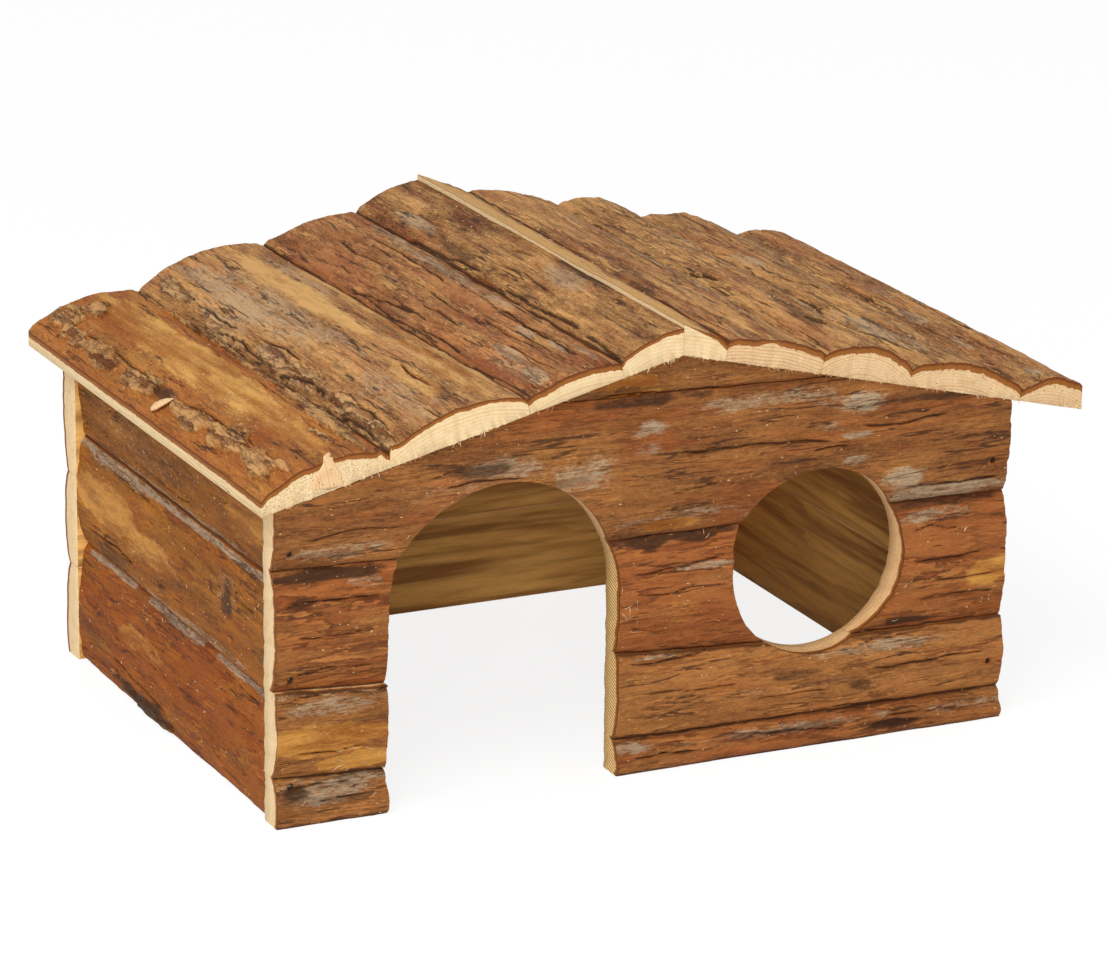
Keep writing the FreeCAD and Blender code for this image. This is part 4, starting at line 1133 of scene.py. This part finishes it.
            (214, 106, 26, 1.2, 0.7)],
        light=[(189, 107.6, 7, 3.4, 1), (204, 81.4, 8, 3.6, 0.9), (97, 96, 9, 4, 0.5)],
        knots=[(95.4, 99.7, 1.8)], pits=[(5.2, 83), (234.8, 83)],
        bare=[(126, 76.5, 9, 1.8, 0.8), (78, 95, 9, 3, 0.5)],
    ),
    "front_gable_cap": look(
        39, 0.4, 0.25, 0.3, 0.22, bark_depth=1.6, seams=0.3, bare=[(112, 120, 10, 3.6, 0.95)],
        cracks=[(0.35, ((96, 117), (116, 117.6), (150, 116)))], dark=[(100, 119, 22, 1.4, 0.6)],
    ),
    "left_wall_bottom_board": look(
        41, 0.48, 0.85, 0.4, 0.22, seams=0.4, pale_rim=1.2, grey=[(78, 35.6, 16, 1.2, 0.7)],
        cracks=[(0.35, ((12, 32.4), (36, 33.4), (60, 33))), (0.28, ((70, 26), (100, 25), (124, 26.4))),
            (0.5, ((84, 5.5), (100, 7.4), (118, 8.6), (140, 10.4)))],
        dark=[(112, 3.5, 24, 3.4, 0.9), (100, 30, 40, 1, 0.5)], bare=[(112, 22, 22, 4, 0.5)],
        crust=[(100, 2.2, 12, 2, 0.9), (128, 4.2, 10, 1.8, 0.9)],
    ),
    "left_wall_middle_board": look(
        42, 0.5, 0.35, 0.3, 0.22, seams=0.5, pale_rim=1.1,
        bare=[(138, 58, 28, 6.5, 0.95), (100, 54, 26, 6, 0.6)], light=[(138, 58, 28, 7, 0.7)],
        cracks=[(0.35, ((14, 60), (34, 61.4), (52, 60.6))), (0.35, ((92, 68.4), (116, 69.6), (150, 69))),
            (0.28, ((60, 47), (88, 46), (104, 47.4))),
            (0.6, ((112, 41), (118, 45.4), (130, 47.4), (156, 46)))],
        dark=[(38, 58, 6, 7, 0.75), (50, 48, 8, 3, 0.5), (136, 42.5, 20, 3.6, 0.6)],
        grey=[(40, 60, 14, 8, 0.5), (130, 70.6, 30, 1.6, 0.8), (70, 40.4, 60, 1.4, 0.7)],
    ),
    "left_wall_top_board": look(
        43, 0.36, 0.15, 0.15, 0.22, bare=[(26, 88, 16, 9, 0.8), (100, 88, 30, 6, 0.35)],
        dark=[(80, 95, 60, 3, 0.4), (60, 84, 8, 4, 0.4)],
        grey=[(116, 86, 50, 9, 0.42), (90, 74.5, 90, 1.2, 0.8)],
        cracks=[(0.32, ((60, 78.4), (90, 77.6), (124, 78.6)))],
    ),
    "right_wall_bottom_board": look(44, 0.45, 0.5, 0.5, 0.22),
    "right_wall_middle_board": look(45, 0.5, 0.4, 0.3, 0.22, bare=[(60, 55, 30, 6, 0.6)]),
    "right_wall_top_board": look(46, 0.42, 0.5, 0.4, 0.22, grey=[(110, 85, 30, 5, 0.6)]),
    "back_bottom_board": look(47, 0.42, 0.6, 0.5, 0.22),
    "back_middle_board": look(48, 0.5, 0.4, 0.3, 0.22, bare=[(80, 45, 50, 6, 0.7)]),
    "back_gable_board": look(49, 0.45, 0.5, 0.4, 0.22, grey=[(180, 85, 30, 6, 0.6)]),
    "back_gable_cap": look(50, 0.45, 0.3, 0.4, 0.22),
}


# ------------------------------------------------------------------------------------------ roof

# Bark heights at the upper edge, in the middle and at the lower edge of each roof slab.
LEFT_ROOF_EDGES = ((7.3, 8.2, 4.5), (4.8, 6.9, 4.6), (4.8, 10.0, 4.4), (4.5, 9.3, 5.0))
RIGHT_ROOF_EDGES = ((9.9, 8.4, 5.6), (6.4, 8.3, 6.2), (5.6, 10.5, 4.9), (4.9, 9.6, 3.8), (3.4, 8.2, 7.6))


def between_lines(start, end, low_line, high_line):
    """Plan of a slab with square ends: v runs from the low to the high line at each u."""
    def plan(s, t):
        u = start + (end - start) * s
        low = low_line(u) + JOINT
        high = high_line(u) - JOINT
        return u, low + (high - low) * t
    return plan


def roof_slabs(side, lines, edges, slope, place, finishes):
    """The slabs of one slope, whose outermost edges stand upright."""
    last = len(lines) - 1
    seams = []
    for number, ends in enumerate(lines):
        seed = None if number in (0, last) else 320 + number + 10 * (side == "right")
        seams.append(seam_line((ROOF_STATIONS, ends, seed)))
    for number in range(1, last + 1):
        low_line, high_line = seams[number - 1:number + 1]
        heights = edges[number - 1]
        over = heights[0] * math.tan(slope) if number == 1 else 0.0
        make_slab(
            f"{side}_roof_board_{number}", place, between_lines(0.0, ROOF_DEPTH, low_line, high_line),
            arch_span(low_line, high_line, over), heights, finishes[number - 1],
            lean=(-math.tan(slope) * (number == 1), -math.tan(slope) * (number == last)),
            teeth=0.45, crumble=0.5,
        )


# ----------------------------------------------------------------------------------------- walls

def under_roof(x):
    """Height of the roof's underside over the wall's outer face at x."""
    left = RIDGE_HEIGHT - (RIDGE_FROM_LEFT - x) * math.tan(SLOPE_LEFT)
    right = RIDGE_HEIGHT - (x - RIDGE_FROM_LEFT) * math.tan(SLOPE_RIGHT)
    return np.minimum(left, right)


def opening_side(direction, centre, level, radius, lowest):
    """Left (-1) or right (+1) side of an opening by height: round, and upright under lowest."""
    return lambda z: centre + direction * np.sqrt(radius ** 2 - np.clip(z - level, lowest, radius) ** 2)


def round_level(direction, centre, level, radius):
    """Top (+1) or bottom (-1) of a circle by x; far below or above outside it."""
    def height(x):
        across = radius ** 2 - (x - centre) ** 2
        edge = level + direction * np.sqrt(np.maximum(across, 0.0))
        return np.where(across > 0, edge, level - direction * 1000.0)
    return height


def between_sides(start_side, end_side, low_line, high_line):
    """Plan of a slab with round ends: u runs between the sides at each height, found by repetition."""
    def plan(s, t):
        v = low_line(60.0 + 0 * s) * (1 - t) + high_line(60.0 + 0 * s) * t
        for _ in range(6):
            u = start_side(v) * (1 - s) + end_side(v) * s
            v = (low_line(u) + JOINT) * (1 - t) + (high_line(u) - JOINT) * t
        return u, v
    return plan


def thickness(hollow):
    """Edge heights of a wall slab from how far its bark stays behind the outermost bark."""
    return tuple(WALL_THICKNESS - part for part in hollow)


def upper_line(*lines):
    """The lowest of several lines."""
    return lambda u: np.minimum.reduce([line(u) for line in lines])


def lower_line(*lines):
    """The highest of several lines."""
    return lambda u: np.maximum.reduce([line(u) for line in lines])


def front_slabs():
    """The courses of the front wall, parted by the door and the window, and the gable over them."""
    ground, low, middle, high, cap, over = map(seam_line, (
        FRONT_GROUND, FRONT_LOW_SEAM, FRONT_MIDDLE_SEAM, FRONT_HIGH_SEAM, FRONT_CAP_SEAM, OVER_ROOF,
    ))

    door = (DOOR_CENTRE, DOOR_SPRING, DOOR_RADIUS)
    window = (WINDOW_CENTRE, WINDOW_CENTRE_HEIGHT, WINDOW_RADIUS)
    door_left, door_right = (opening_side(way, *door, 0) for way in (-1, 1))
    window_left, window_right = (opening_side(way, *window, -WINDOW_RADIUS) for way in (-1, 1))
    cap_slope = math.tan(SLOPE_LEFT) + FRONT_CAP_FALL / WALL_WIDTH
    cap_left = (FRONT_CAP_SEAM[1][0] - EAVE_HEIGHT_LEFT) / cap_slope + CAP_TRIM
    cap_right = cap_left + FRONT_CAP_WIDTH
    under_cap = upper_line(cap, under_roof)
    under_window = upper_line(middle, round_level(-1, *window))
    over_openings = lower_line(high, round_level(1, *door), round_level(1, *window))
    bottom = (ground, low, (1.1, 0.7, 4.6))
    course = (low, middle, (3.0, 0.2, 2.1))
    upper = (middle, high, (3.6, 0.3, 4.0))
    gable = (high, cap, (3.2, 0.1, 2.4))
    peak = (cap, over, (3.0, 1.4, 3.2))
    slabs = (
        ("bottom_board_left", between_lines(0.0, DOOR_LEFT, ground, low), bottom, DOOR_AT_END),
        ("bottom_board_right", between_lines(DOOR_RIGHT, WALL_WIDTH, ground, low), bottom, DOOR_AT_START),
        ("middle_board_left", between_lines(0.0, DOOR_LEFT, low, middle), course, DOOR_AT_END),
        ("middle_board_right",
         between_lines(DOOR_RIGHT, WALL_WIDTH, low, under_window), course, DOOR_AT_START),
        ("upper_board_left", between_sides(lambda v: 0 * v, door_left, middle, high), upper, DOOR_AT_END),
        ("upper_board_centre", between_sides(door_right, window_left, middle, high), upper, DOOR_AT_START),
        ("upper_board_right",
         between_sides(window_right, lambda v: 0 * v + WALL_WIDTH, middle, high), upper, WINDOW_AT_START),
        ("gable_board", between_lines(0.0, WALL_WIDTH, over_openings, under_cap), gable, WALL_FINISH),
        ("gable_cap", between_lines(cap_left, cap_right, cap, under_roof), peak, WALL_FINISH),
    )
    for name, plan, (low_seam, high_seam, hollow), finish in slabs:
        make_slab(
            "front_" + name, front_wall, plan, arch_span(low_seam, high_seam), thickness(hollow), finish,
            crumble=0.7,
        )


def wall_slabs(place, start, end, spacing, rows, top, lean=0.0, finish=WALL_FINISH):
    """The slabs of a wall with no opening: rows of (name, seams, hollow), under a top line."""
    for name, low, high, hollow in rows:
        low_line = seam_line(low)
        high_line = seam_line(high)
        make_slab(
            name, place, between_lines(start, end, low_line, upper_line(high_line, top)),
            arch_span(low_line, high_line), thickness(hollow), finish,
            spacing=spacing, lean=(0.0, lean if name == rows[-1][0] else 0.0),
        )


def side_walls():
    """Three courses at the left and at the right, between the front and the back wall."""
    left_rows = (
        ("left_wall_bottom_board", SIDE_GROUND, LEFT_LOW_SEAM, (1.8, 0.2, 3.4)),
        ("left_wall_middle_board", LEFT_LOW_SEAM, LEFT_HIGH_SEAM, (3.2, 0.1, 3.0)),
        ("left_wall_top_board", LEFT_HIGH_SEAM, OVER_ROOF, (3.4, 0.6, 1.2)),
    )
    slope = math.tan(SLOPE_LEFT)
    left_top = RIDGE_HEIGHT - (RIDGE_FROM_LEFT - WALL_THICKNESS) * slope
    wall_slabs(left_wall, *SIDE_STATIONS, MEDIUM, left_rows, lambda u: left_top + 0 * u, -slope, SIDE_FINISH)
    right_rows = (
        ("right_wall_bottom_board", SIDE_GROUND, RIGHT_LOW_SEAM, (2.0, 0.1, 3.2)),
        ("right_wall_middle_board", RIGHT_LOW_SEAM, RIGHT_HIGH_SEAM, (3.4, 0.3, 3.4)),
        ("right_wall_top_board", RIGHT_HIGH_SEAM, OVER_ROOF, (3.0, 0.4, 1.6)),
    )
    slope = math.tan(SLOPE_RIGHT)
    right_top = RIDGE_HEIGHT - (WALL_WIDTH - WALL_THICKNESS - RIDGE_FROM_LEFT) * slope
    wall_slabs(right_wall, *SIDE_STATIONS, COARSE, right_rows, lambda u: right_top + 0 * u, -slope)


def back_slabs():
    """Two courses, the gable board and its cap."""
    rows = (
        ("back_bottom_board", BACK_GROUND, BACK_LOW_SEAM, (1.6, 0.4, 3.4)),
        ("back_middle_board", BACK_LOW_SEAM, BACK_HIGH_SEAM, (3.4, 0.2, 3.0)),
        ("back_gable_board", BACK_HIGH_SEAM, BACK_CAP_SEAM, (3.0, 0.1, 3.2)),
    )
    wall_slabs(back_wall, 0.0, WALL_WIDTH, COARSE, rows, under_roof)
    cap_left = RIDGE_FROM_LEFT - BACK_CAP_LEFT_DROP / math.tan(SLOPE_LEFT) + CAP_TRIM
    cap_right = RIDGE_FROM_LEFT + BACK_CAP_RIGHT_DROP / math.tan(SLOPE_RIGHT) - CAP_TRIM
    cap_row = (("back_gable_cap", BACK_CAP_SEAM, OVER_ROOF, (3.2, 0.6, 2.8)),)
    wall_slabs(back_wall, cap_left, cap_right, COARSE, cap_row, under_roof)


# ------------------------------------------------------------------------- saw fibres and knots

def keep_piece(name, points, faces, slot, finish, attributes):
    """A closed mesh from points in metres, with its attributes, that rides on the house."""
    mesh = bpy.data.meshes.new(name)
    mesh.from_pydata(points.tolist(), [], faces)
    for label, values in attributes.items():
        write_attribute(mesh, label, values)
    mesh.materials.append(finish)
    mesh.shade_smooth()
    mesh.update()
    piece = add_object(name, mesh)
    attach(piece, "root")


def lying_fibres(surface, outward, count, shortest, longest, seed):
    """Middle lines of fibres that lie on a bark surface, five points each, lifted in the middle.

    A fibre follows the surface's own points from a random start, along a random direction that
    mostly keeps to the grain, and bows aside as t (1 - t).
    """
    chance = np.random.default_rng(seed)
    rows, columns = surface.shape[:2]
    i, j = rows // 2, columns // 2
    step = np.linalg.norm(surface[i, j] - surface[i + 1, j]) * 1000
    length = chance.uniform(shortest, longest, (count, 1)) / step
    angle = chance.normal(0.0, 0.7, (count, 1))
    bow = chance.uniform(-0.5, 0.5, (count, 1)) * length
    t = np.linspace(0, 1, 5)[None, :]
    i = chance.uniform(0, rows - 1, (count, 1)) + length * np.cos(angle) * t
    j = chance.uniform(0, columns - 1, (count, 1)) + length * np.sin(angle) * t + 2 * bow * t * (1 - t)
    i = np.clip(np.rint(i), 0, rows - 1).astype(int)
    j = np.clip(np.rint(j), 0, columns - 1).astype(int)
    lift = 0.00012 + 0.0009 * chance.uniform(0.0, 1.0, (count, 1)) * t * (1 - t)
    return surface[i, j] + lift[..., None] * np.array(outward)


def fringe_fibres(place, low, high, count, seed):
    """Middle lines of torn fibres that hang from the lower edge of a sawn end."""
    chance = np.random.default_rng(seed)
    t = np.linspace(0, 1, 5)[None, :]
    v = chance.uniform(low, high, (count, 1))
    thick = layered(v / 6.0, 0 * v, seed, 2)
    length = chance.uniform(0.15, 1.0, (count, 1)) * (0.6 + 1.2 * rise(thick, 0.4, 0.7))
    slant = chance.normal(0.0, 0.55, (count, 1))
    bow = chance.normal(0.0, 0.5, (count, 1))
    u = -0.05 - 0.35 * length * t
    w = 0.5 - length * t
    return place(u, v + length * (slant * t + bow * t * (1 - t)), w)


def fibre_mesh(name, lines, widths, slot, finish):
    """Three-sided tapering rods along middle lines, closed at both ends."""
    count, stations = lines.shape[:2]
    along = np.gradient(lines, axis=1)
    along /= np.maximum(np.linalg.norm(along, axis=-1, keepdims=True), 1e-9)
    side = np.cross(along, np.array([0.31, -0.42, 0.85]))
    side /= np.maximum(np.linalg.norm(side, axis=-1, keepdims=True), 1e-9)
    other = np.cross(along, side)
    taper = np.array([0.6, 1.0, 1.0, 0.8, 0.3])[None, :, None, None]
    turn = np.radians([90.0, 210.0, 330.0])[None, None, :, None]
    ring = np.cos(turn) * side[:, :, None, :] + np.sin(turn) * other[:, :, None, :]
    points = lines[:, :, None, :] + ring * taper * widths[:, None, None, None]
    base = (np.arange(count) * stations * 3)[:, None, None]
    k = (np.arange(stations - 1) * 3)[None, :, None]
    a = np.arange(3)[None, None, :]
    b = (a + 1) % 3
    corners = (base + k + a, base + k + b, base + k + 3 + b, base + k + 3 + a)
    quads = np.stack(np.broadcast_arrays(*corners), axis=-1)
    first = base[:, 0, 0][:, None] + np.array([[2, 1, 0]])
    last = base[:, 0, 0][:, None] + 3 * (stations - 1) + np.array([[0, 1, 2]])
    faces = quads.reshape(-1, 4).tolist() + first.tolist() + last.tolist()
    shade = np.repeat(np.arange(count) % 7 / 7.0, stations * 3)
    tint = np.stack([shade, shade, shade], axis=-1)
    keep_piece(name, points.reshape(-1, 3), faces, slot, finish, {"shade": tint})


def lofted_chip(name, place, middle, half_widths, half_heights, facing, slot, finish):
    """A splinter or knot: ovals carried along a middle line (u, v, w), flat towards facing.

    The two ends close in single points.
    """
    sides = 20
    middle = np.array(middle, dtype=float)
    t = np.linspace(0, 1, 19)
    known = np.linspace(0, 1, len(middle))
    line = np.stack([np.interp(t, known, middle[:, k]) for k in range(3)], axis=-1)
    line[1:-1] = (line[:-2] + 2 * line[1:-1] + line[2:]) / 4
    wide = np.interp(t, known, half_widths)
    high = np.interp(t, known, half_heights)
    along = np.gradient(line, axis=0)
    along /= np.linalg.norm(along, axis=-1, keepdims=True)
    across = np.cross(along, np.array(facing))
    across /= np.linalg.norm(across, axis=-1, keepdims=True)
    upward = np.cross(across, along)
    turn = np.linspace(0, 2 * np.pi, sides, endpoint=False)
    at = t[:, None]
    bulge = 1 + 0.3 * (layered(8 * at + 0 * turn, 0.8 * np.cos(turn) + 3 + 0 * at, 77, 2) - 0.5)
    oval = np.cos(turn)[None, :, None] * across[:, None, :] * wide[:, None, None]
    oval = oval + np.sin(turn)[None, :, None] * upward[:, None, :] * high[:, None, None]
    points = line[:, None, :] + oval * bulge[..., None]
    inner = points[1:-1].reshape(-1, 3)
    both = np.concatenate([inner, line[:1], line[-1:]])
    rings = len(t) - 2
    k = (np.arange(rings - 1) * sides)[:, None]
    a = np.arange(sides)[None, :]
    b = (a + 1) % sides
    quads = np.stack(np.broadcast_arrays(k + a, k + b, k + sides + b, k + sides + a), axis=-1)
    faces = quads.reshape(-1, 4).tolist()
    start = rings * sides
    last = start - sides
    faces += [[start, (n + 1) % sides, n] for n in range(sides)]
    faces += [[start + 1, last + n, last + (n + 1) % sides] for n in range(sides)]
    spots = place(both[:, 0], both[:, 1], both[:, 2])
    nothing = np.zeros_like(both)
    rings_at = np.stack([nothing[:, 0] + 9.0, both[:, 1] * 1.7, nothing[:, 0] + 0.1], axis=-1)
    keep_piece(name, spots, faces, slot, finish, {"grain": both, "cover": nothing, "rings": rings_at})


def speckled(name, scale, detail, low, high, smoothest, roughest, by_fibre=False):
    """A material between two colours by fine noise, and by_fibre also by each fibre's own shade."""
    material = bpy.data.materials.new(name)
    material.use_nodes = True
    tree = material.node_tree
    shader = tree.nodes["Principled BSDF"]
    where = Wire(node(tree, "TexCoord").outputs["Object"])
    share = speck = wire("TexNoise", {"Vector": where, "Scale": scale, "Detail": detail})
    if by_fibre:
        tint, *_ = attribute(tree, "shade")
        share = calc("ADD", tint, swing(speck, 0.8), clamp=True)
    tree.links.new(blend(share, paint(*low), paint(*high)).socket, shader.inputs["Base Color"])
    tree.links.new(ease(speck, 0.3, 0.7, smoothest, roughest).socket, shader.inputs["Roughness"])
    return material


def saw_fibres():
    """Loose fibres on the bark and torn ones along the roof's front ends."""
    finish = speckled("saw fibre", 700.0, 2.0, (206, 160, 100), (252, 232, 190), 0.6, 0.8, by_fibre=True)
    roof = []
    wall = []
    upwards = (0.0, 0.0, 1.0)
    forwards = (0.0, -1.0, 0.0)
    leftwards = (-1.0, 0.0, 0.0)
    for number, (name, surface) in enumerate(SURFACES.items()):
        if "roof" in name:
            roof.append(lying_fibres(surface, upwards, 40, 0.4, 1.8, FIBRE_SEED + number))
        elif name.startswith("front"):
            area = surface.shape[0] * surface.shape[1]
            wall.append(lying_fibres(surface, forwards, 6 + area // 1800, 0.3, 1.4, FIBRE_SEED + number))
        elif name.startswith("left"):
            wall.append(lying_fibres(surface, leftwards, 44, 0.3, 1.5, FIBRE_SEED + number))

    # More and longer ones round the splinter, beside the door's right jamb and on its left pier.
    busy = SURFACES["left_roof_board_4"]
    rows, columns = busy.shape[:2]
    part = busy[rows // 5:2 * rows // 5, columns // 3:2 * columns // 3]
    roof.append(lying_fibres(part, upwards, 26, 1.0, 3.0, 560))
    jamb = SURFACES["front_upper_board_centre"]
    rows, columns = jamb.shape[:2]
    part = jamb[2:rows // 6, columns // 6:columns // 2]
    wall.append(lying_fibres(part, forwards, 10, 1.2, 3.4, 561))
    pier = SURFACES["front_middle_board_left"]
    rows, columns = pier.shape[:2]
    wall.append(lying_fibres(pier[rows // 2:, :columns // 3], forwards, 12, 1.5, 5.0, 562))

    fringe = [
        fringe_fibres(left_roof, 1.0, LEFT_ROOF_LINES[-1][0] - 1.0, 130, 570),
        fringe_fibres(right_roof, 1.0, RIGHT_ROOF_LINES[-1][0] - 1.0, 120, 571),
    ]
    for name, lines, slot in (
        ("roof_fibres", roof, "roof_bark_wood"), ("wall_fibres", wall, "wall_bark_wood"),
        ("end_fringe", fringe, "roof_bark_wood"),
    ):
        lines = np.concatenate(lines)
        widths = np.random.default_rng(580).uniform(0.00006, 0.00013, len(lines))
        fibre_mesh(name, lines, widths, slot, finish)


def knots_and_splinters():
    """The branch stub cut through at the front end of the eave slab, and the one on its bark."""
    lofted_chip(
        "end_knot", left_roof,
        ((1.0, 112.8, 9.8), (0.2, 113.2, 10.6), (0.05, 113.6, 9.2), (0.0, 114.1, 7.4), (0.0, 114.9, 4.8),
         (0.0, 115.6, 0.8)),
        (0.9, 1.3, 1.5, 2.4, 4.2, 5.4), (0.1, 0.35, 0.3, 0.2, 0.16, 0.1),
        (-1.0, 0.0, 0.05), "roof_bark_wood", KNOT_WOOD,
    )
    lofted_chip(
        "bark_splinter", left_roof,
        ((88.6, 134.4, 7.0), (88.0, 132.8, 7.9), (87.5, 131.0, 8.3), (86.9, 129.2, 8.7), (86.2, 127.0, 8.9)),
        (0.9, 1.8, 1.9, 1.4, 0.05), (0.4, 0.9, 0.9, 0.6, 0.05), (0.0, 0.0, 1.0), "roof_bark_wood", KNOT_WOOD,
    )


# ------------------------------------------------------------------------------- brads and stage

def dress_brads():
    """Puts dull drawn wire, grey steel whose roughness and tint waver, on the four groups of brads."""
    material = speckled("brad wire", 900.0, 3.0, (120, 116, 110), (178, 172, 164), 0.35, 0.6)
    material.node_tree.nodes["Principled BSDF"].inputs["Metallic"].default_value = 1.0
    for name in ("front_corner_brads", "back_corner_brads", "front_roof_brads", "back_roof_brads"):
        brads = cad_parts[name]
        brads.data.materials.clear()
        brads.data.materials.append(material)


def stage_ray(tree):
    """1 for rays that show the background: from the camera, and in gloss or glass."""
    path = node(tree, "LightPath").outputs
    camera, gloss, glass = (Wire(path[f"Is {kind} Ray"]) for kind in ("Camera", "Glossy", "Transmission"))
    return larger(larger(camera, gloss), glass)


def make_floor():
    """A pale floor whose shadows stay faint where the camera sees it."""
    reach = 6.0
    mesh = bpy.data.meshes.new("floor")
    corners = [(-reach, -reach, 0), (reach, -reach, 0), (reach, reach, 0), (-reach, reach, 0)]
    mesh.from_pydata(corners, [], [(0, 1, 2, 3)])
    floor = add_object("floor", mesh)
    material = bpy.data.materials.new("pale floor")
    tree = emptied_tree(material)
    matt = node(tree, "BsdfDiffuse", {"Color": (0.86, 0.86, 0.86, 1)})
    glow = node(tree, "Emission", {"Color": (1, 1, 1, 1), "Strength": 1.1})
    share = stage_ray(tree) * 0.78
    mixed = wire("MixShader", {0: share, 1: Wire(matt.outputs[0]), 2: Wire(glow.outputs[0])})
    node(tree, "OutputMaterial", {"Surface": mixed})
    mesh.materials.append(material)


def turn_to(thing, right, up, back, place):
    """Places a thing by its three axes, of unit length, and its position in metres."""
    rows = [(*axis, 0.0) for axis in (right, up, back)]
    rows.append((*place, 1.0))
    thing.matrix_world = mathutils.Matrix(rows).transposed()


def aim(thing, place, target):
    """Puts a lamp at a place and turns it to a target, both in metres."""
    back = np.array(place, dtype=float) - np.array(target, dtype=float)
    back /= np.linalg.norm(back)
    right = np.cross((0.0, 0.0, 1.0), back)
    right /= np.linalg.norm(right)
    up = np.cross(back, right)
    turn_to(thing, right, up, back, place)


def soft_lamp(name, place, size, power):
    """A large square lamp turned to the house."""
    light = bpy.data.lights.new(name, "AREA")
    light.shape = "SQUARE"
    light.size = size
    light.energy = power
    aim(add_object(name, light), place, (0.0, 0.0, 0.06))


def light_studio():
    """Even light all round, a key lamp from the upper left and a weaker, lower one from the front left."""
    world = bpy.data.worlds.new("studio")
    bpy.context.scene.world = world
    tree = emptied_tree(world)
    level = ease(stage_ray(tree), 0.0, 1.0, 0.5, 1.0)
    sky = wire("Background", {"Color": (1, 1, 1, 1), "Strength": level})
    node(tree, "OutputWorld", {"Surface": sky})
    soft_lamp("key lamp", (-0.9, -0.75, 1.6), 0.9, 17.0)
    soft_lamp("front lamp", (-0.8, -1.5, 0.45), 0.7, 9.0)


def place_camera():
    """The camera, by its bearing and height angle, its roll and its focal length."""
    azimuth = math.radians(-25.45)
    elevation = math.radians(17.57)
    roll = math.radians(0.60)
    place = (-0.68498, -1.44527, 0.56705)
    back = np.array([
        math.sin(azimuth) * math.cos(elevation),
        -math.cos(azimuth) * math.cos(elevation),
        math.sin(elevation),
    ])
    level = np.cross((0.0, 0.0, 1.0), back)
    level /= np.linalg.norm(level)
    upright = np.cross(back, level)
    right = math.cos(roll) * level + math.sin(roll) * upright
    up = -math.sin(roll) * level + math.cos(roll) * upright
    data = bpy.data.cameras.new("camera")
    data.lens = 175.69
    data.sensor_width = 36.0
    camera = add_object("camera", data)
    turn_to(camera, right, up, back, place)
    bpy.context.scene.camera = camera


roof_slabs("left", LEFT_ROOF_LINES, LEFT_ROOF_EDGES, SLOPE_LEFT, left_roof, [PALE_ROOF] * 3 + [EAVE_ROOF])
roof_slabs("right", RIGHT_ROOF_LINES, RIGHT_ROOF_EDGES, SLOPE_RIGHT, right_roof, [PALE_ROOF] + [SHADED_TAN_ROOF] * 4)
front_slabs()
side_walls()
back_slabs()
dress_brads()
saw_fibres()
knots_and_splinters()
make_floor()
light_studio()
place_camera()
bpy.context.scene.view_settings.view_transform = "Standard"
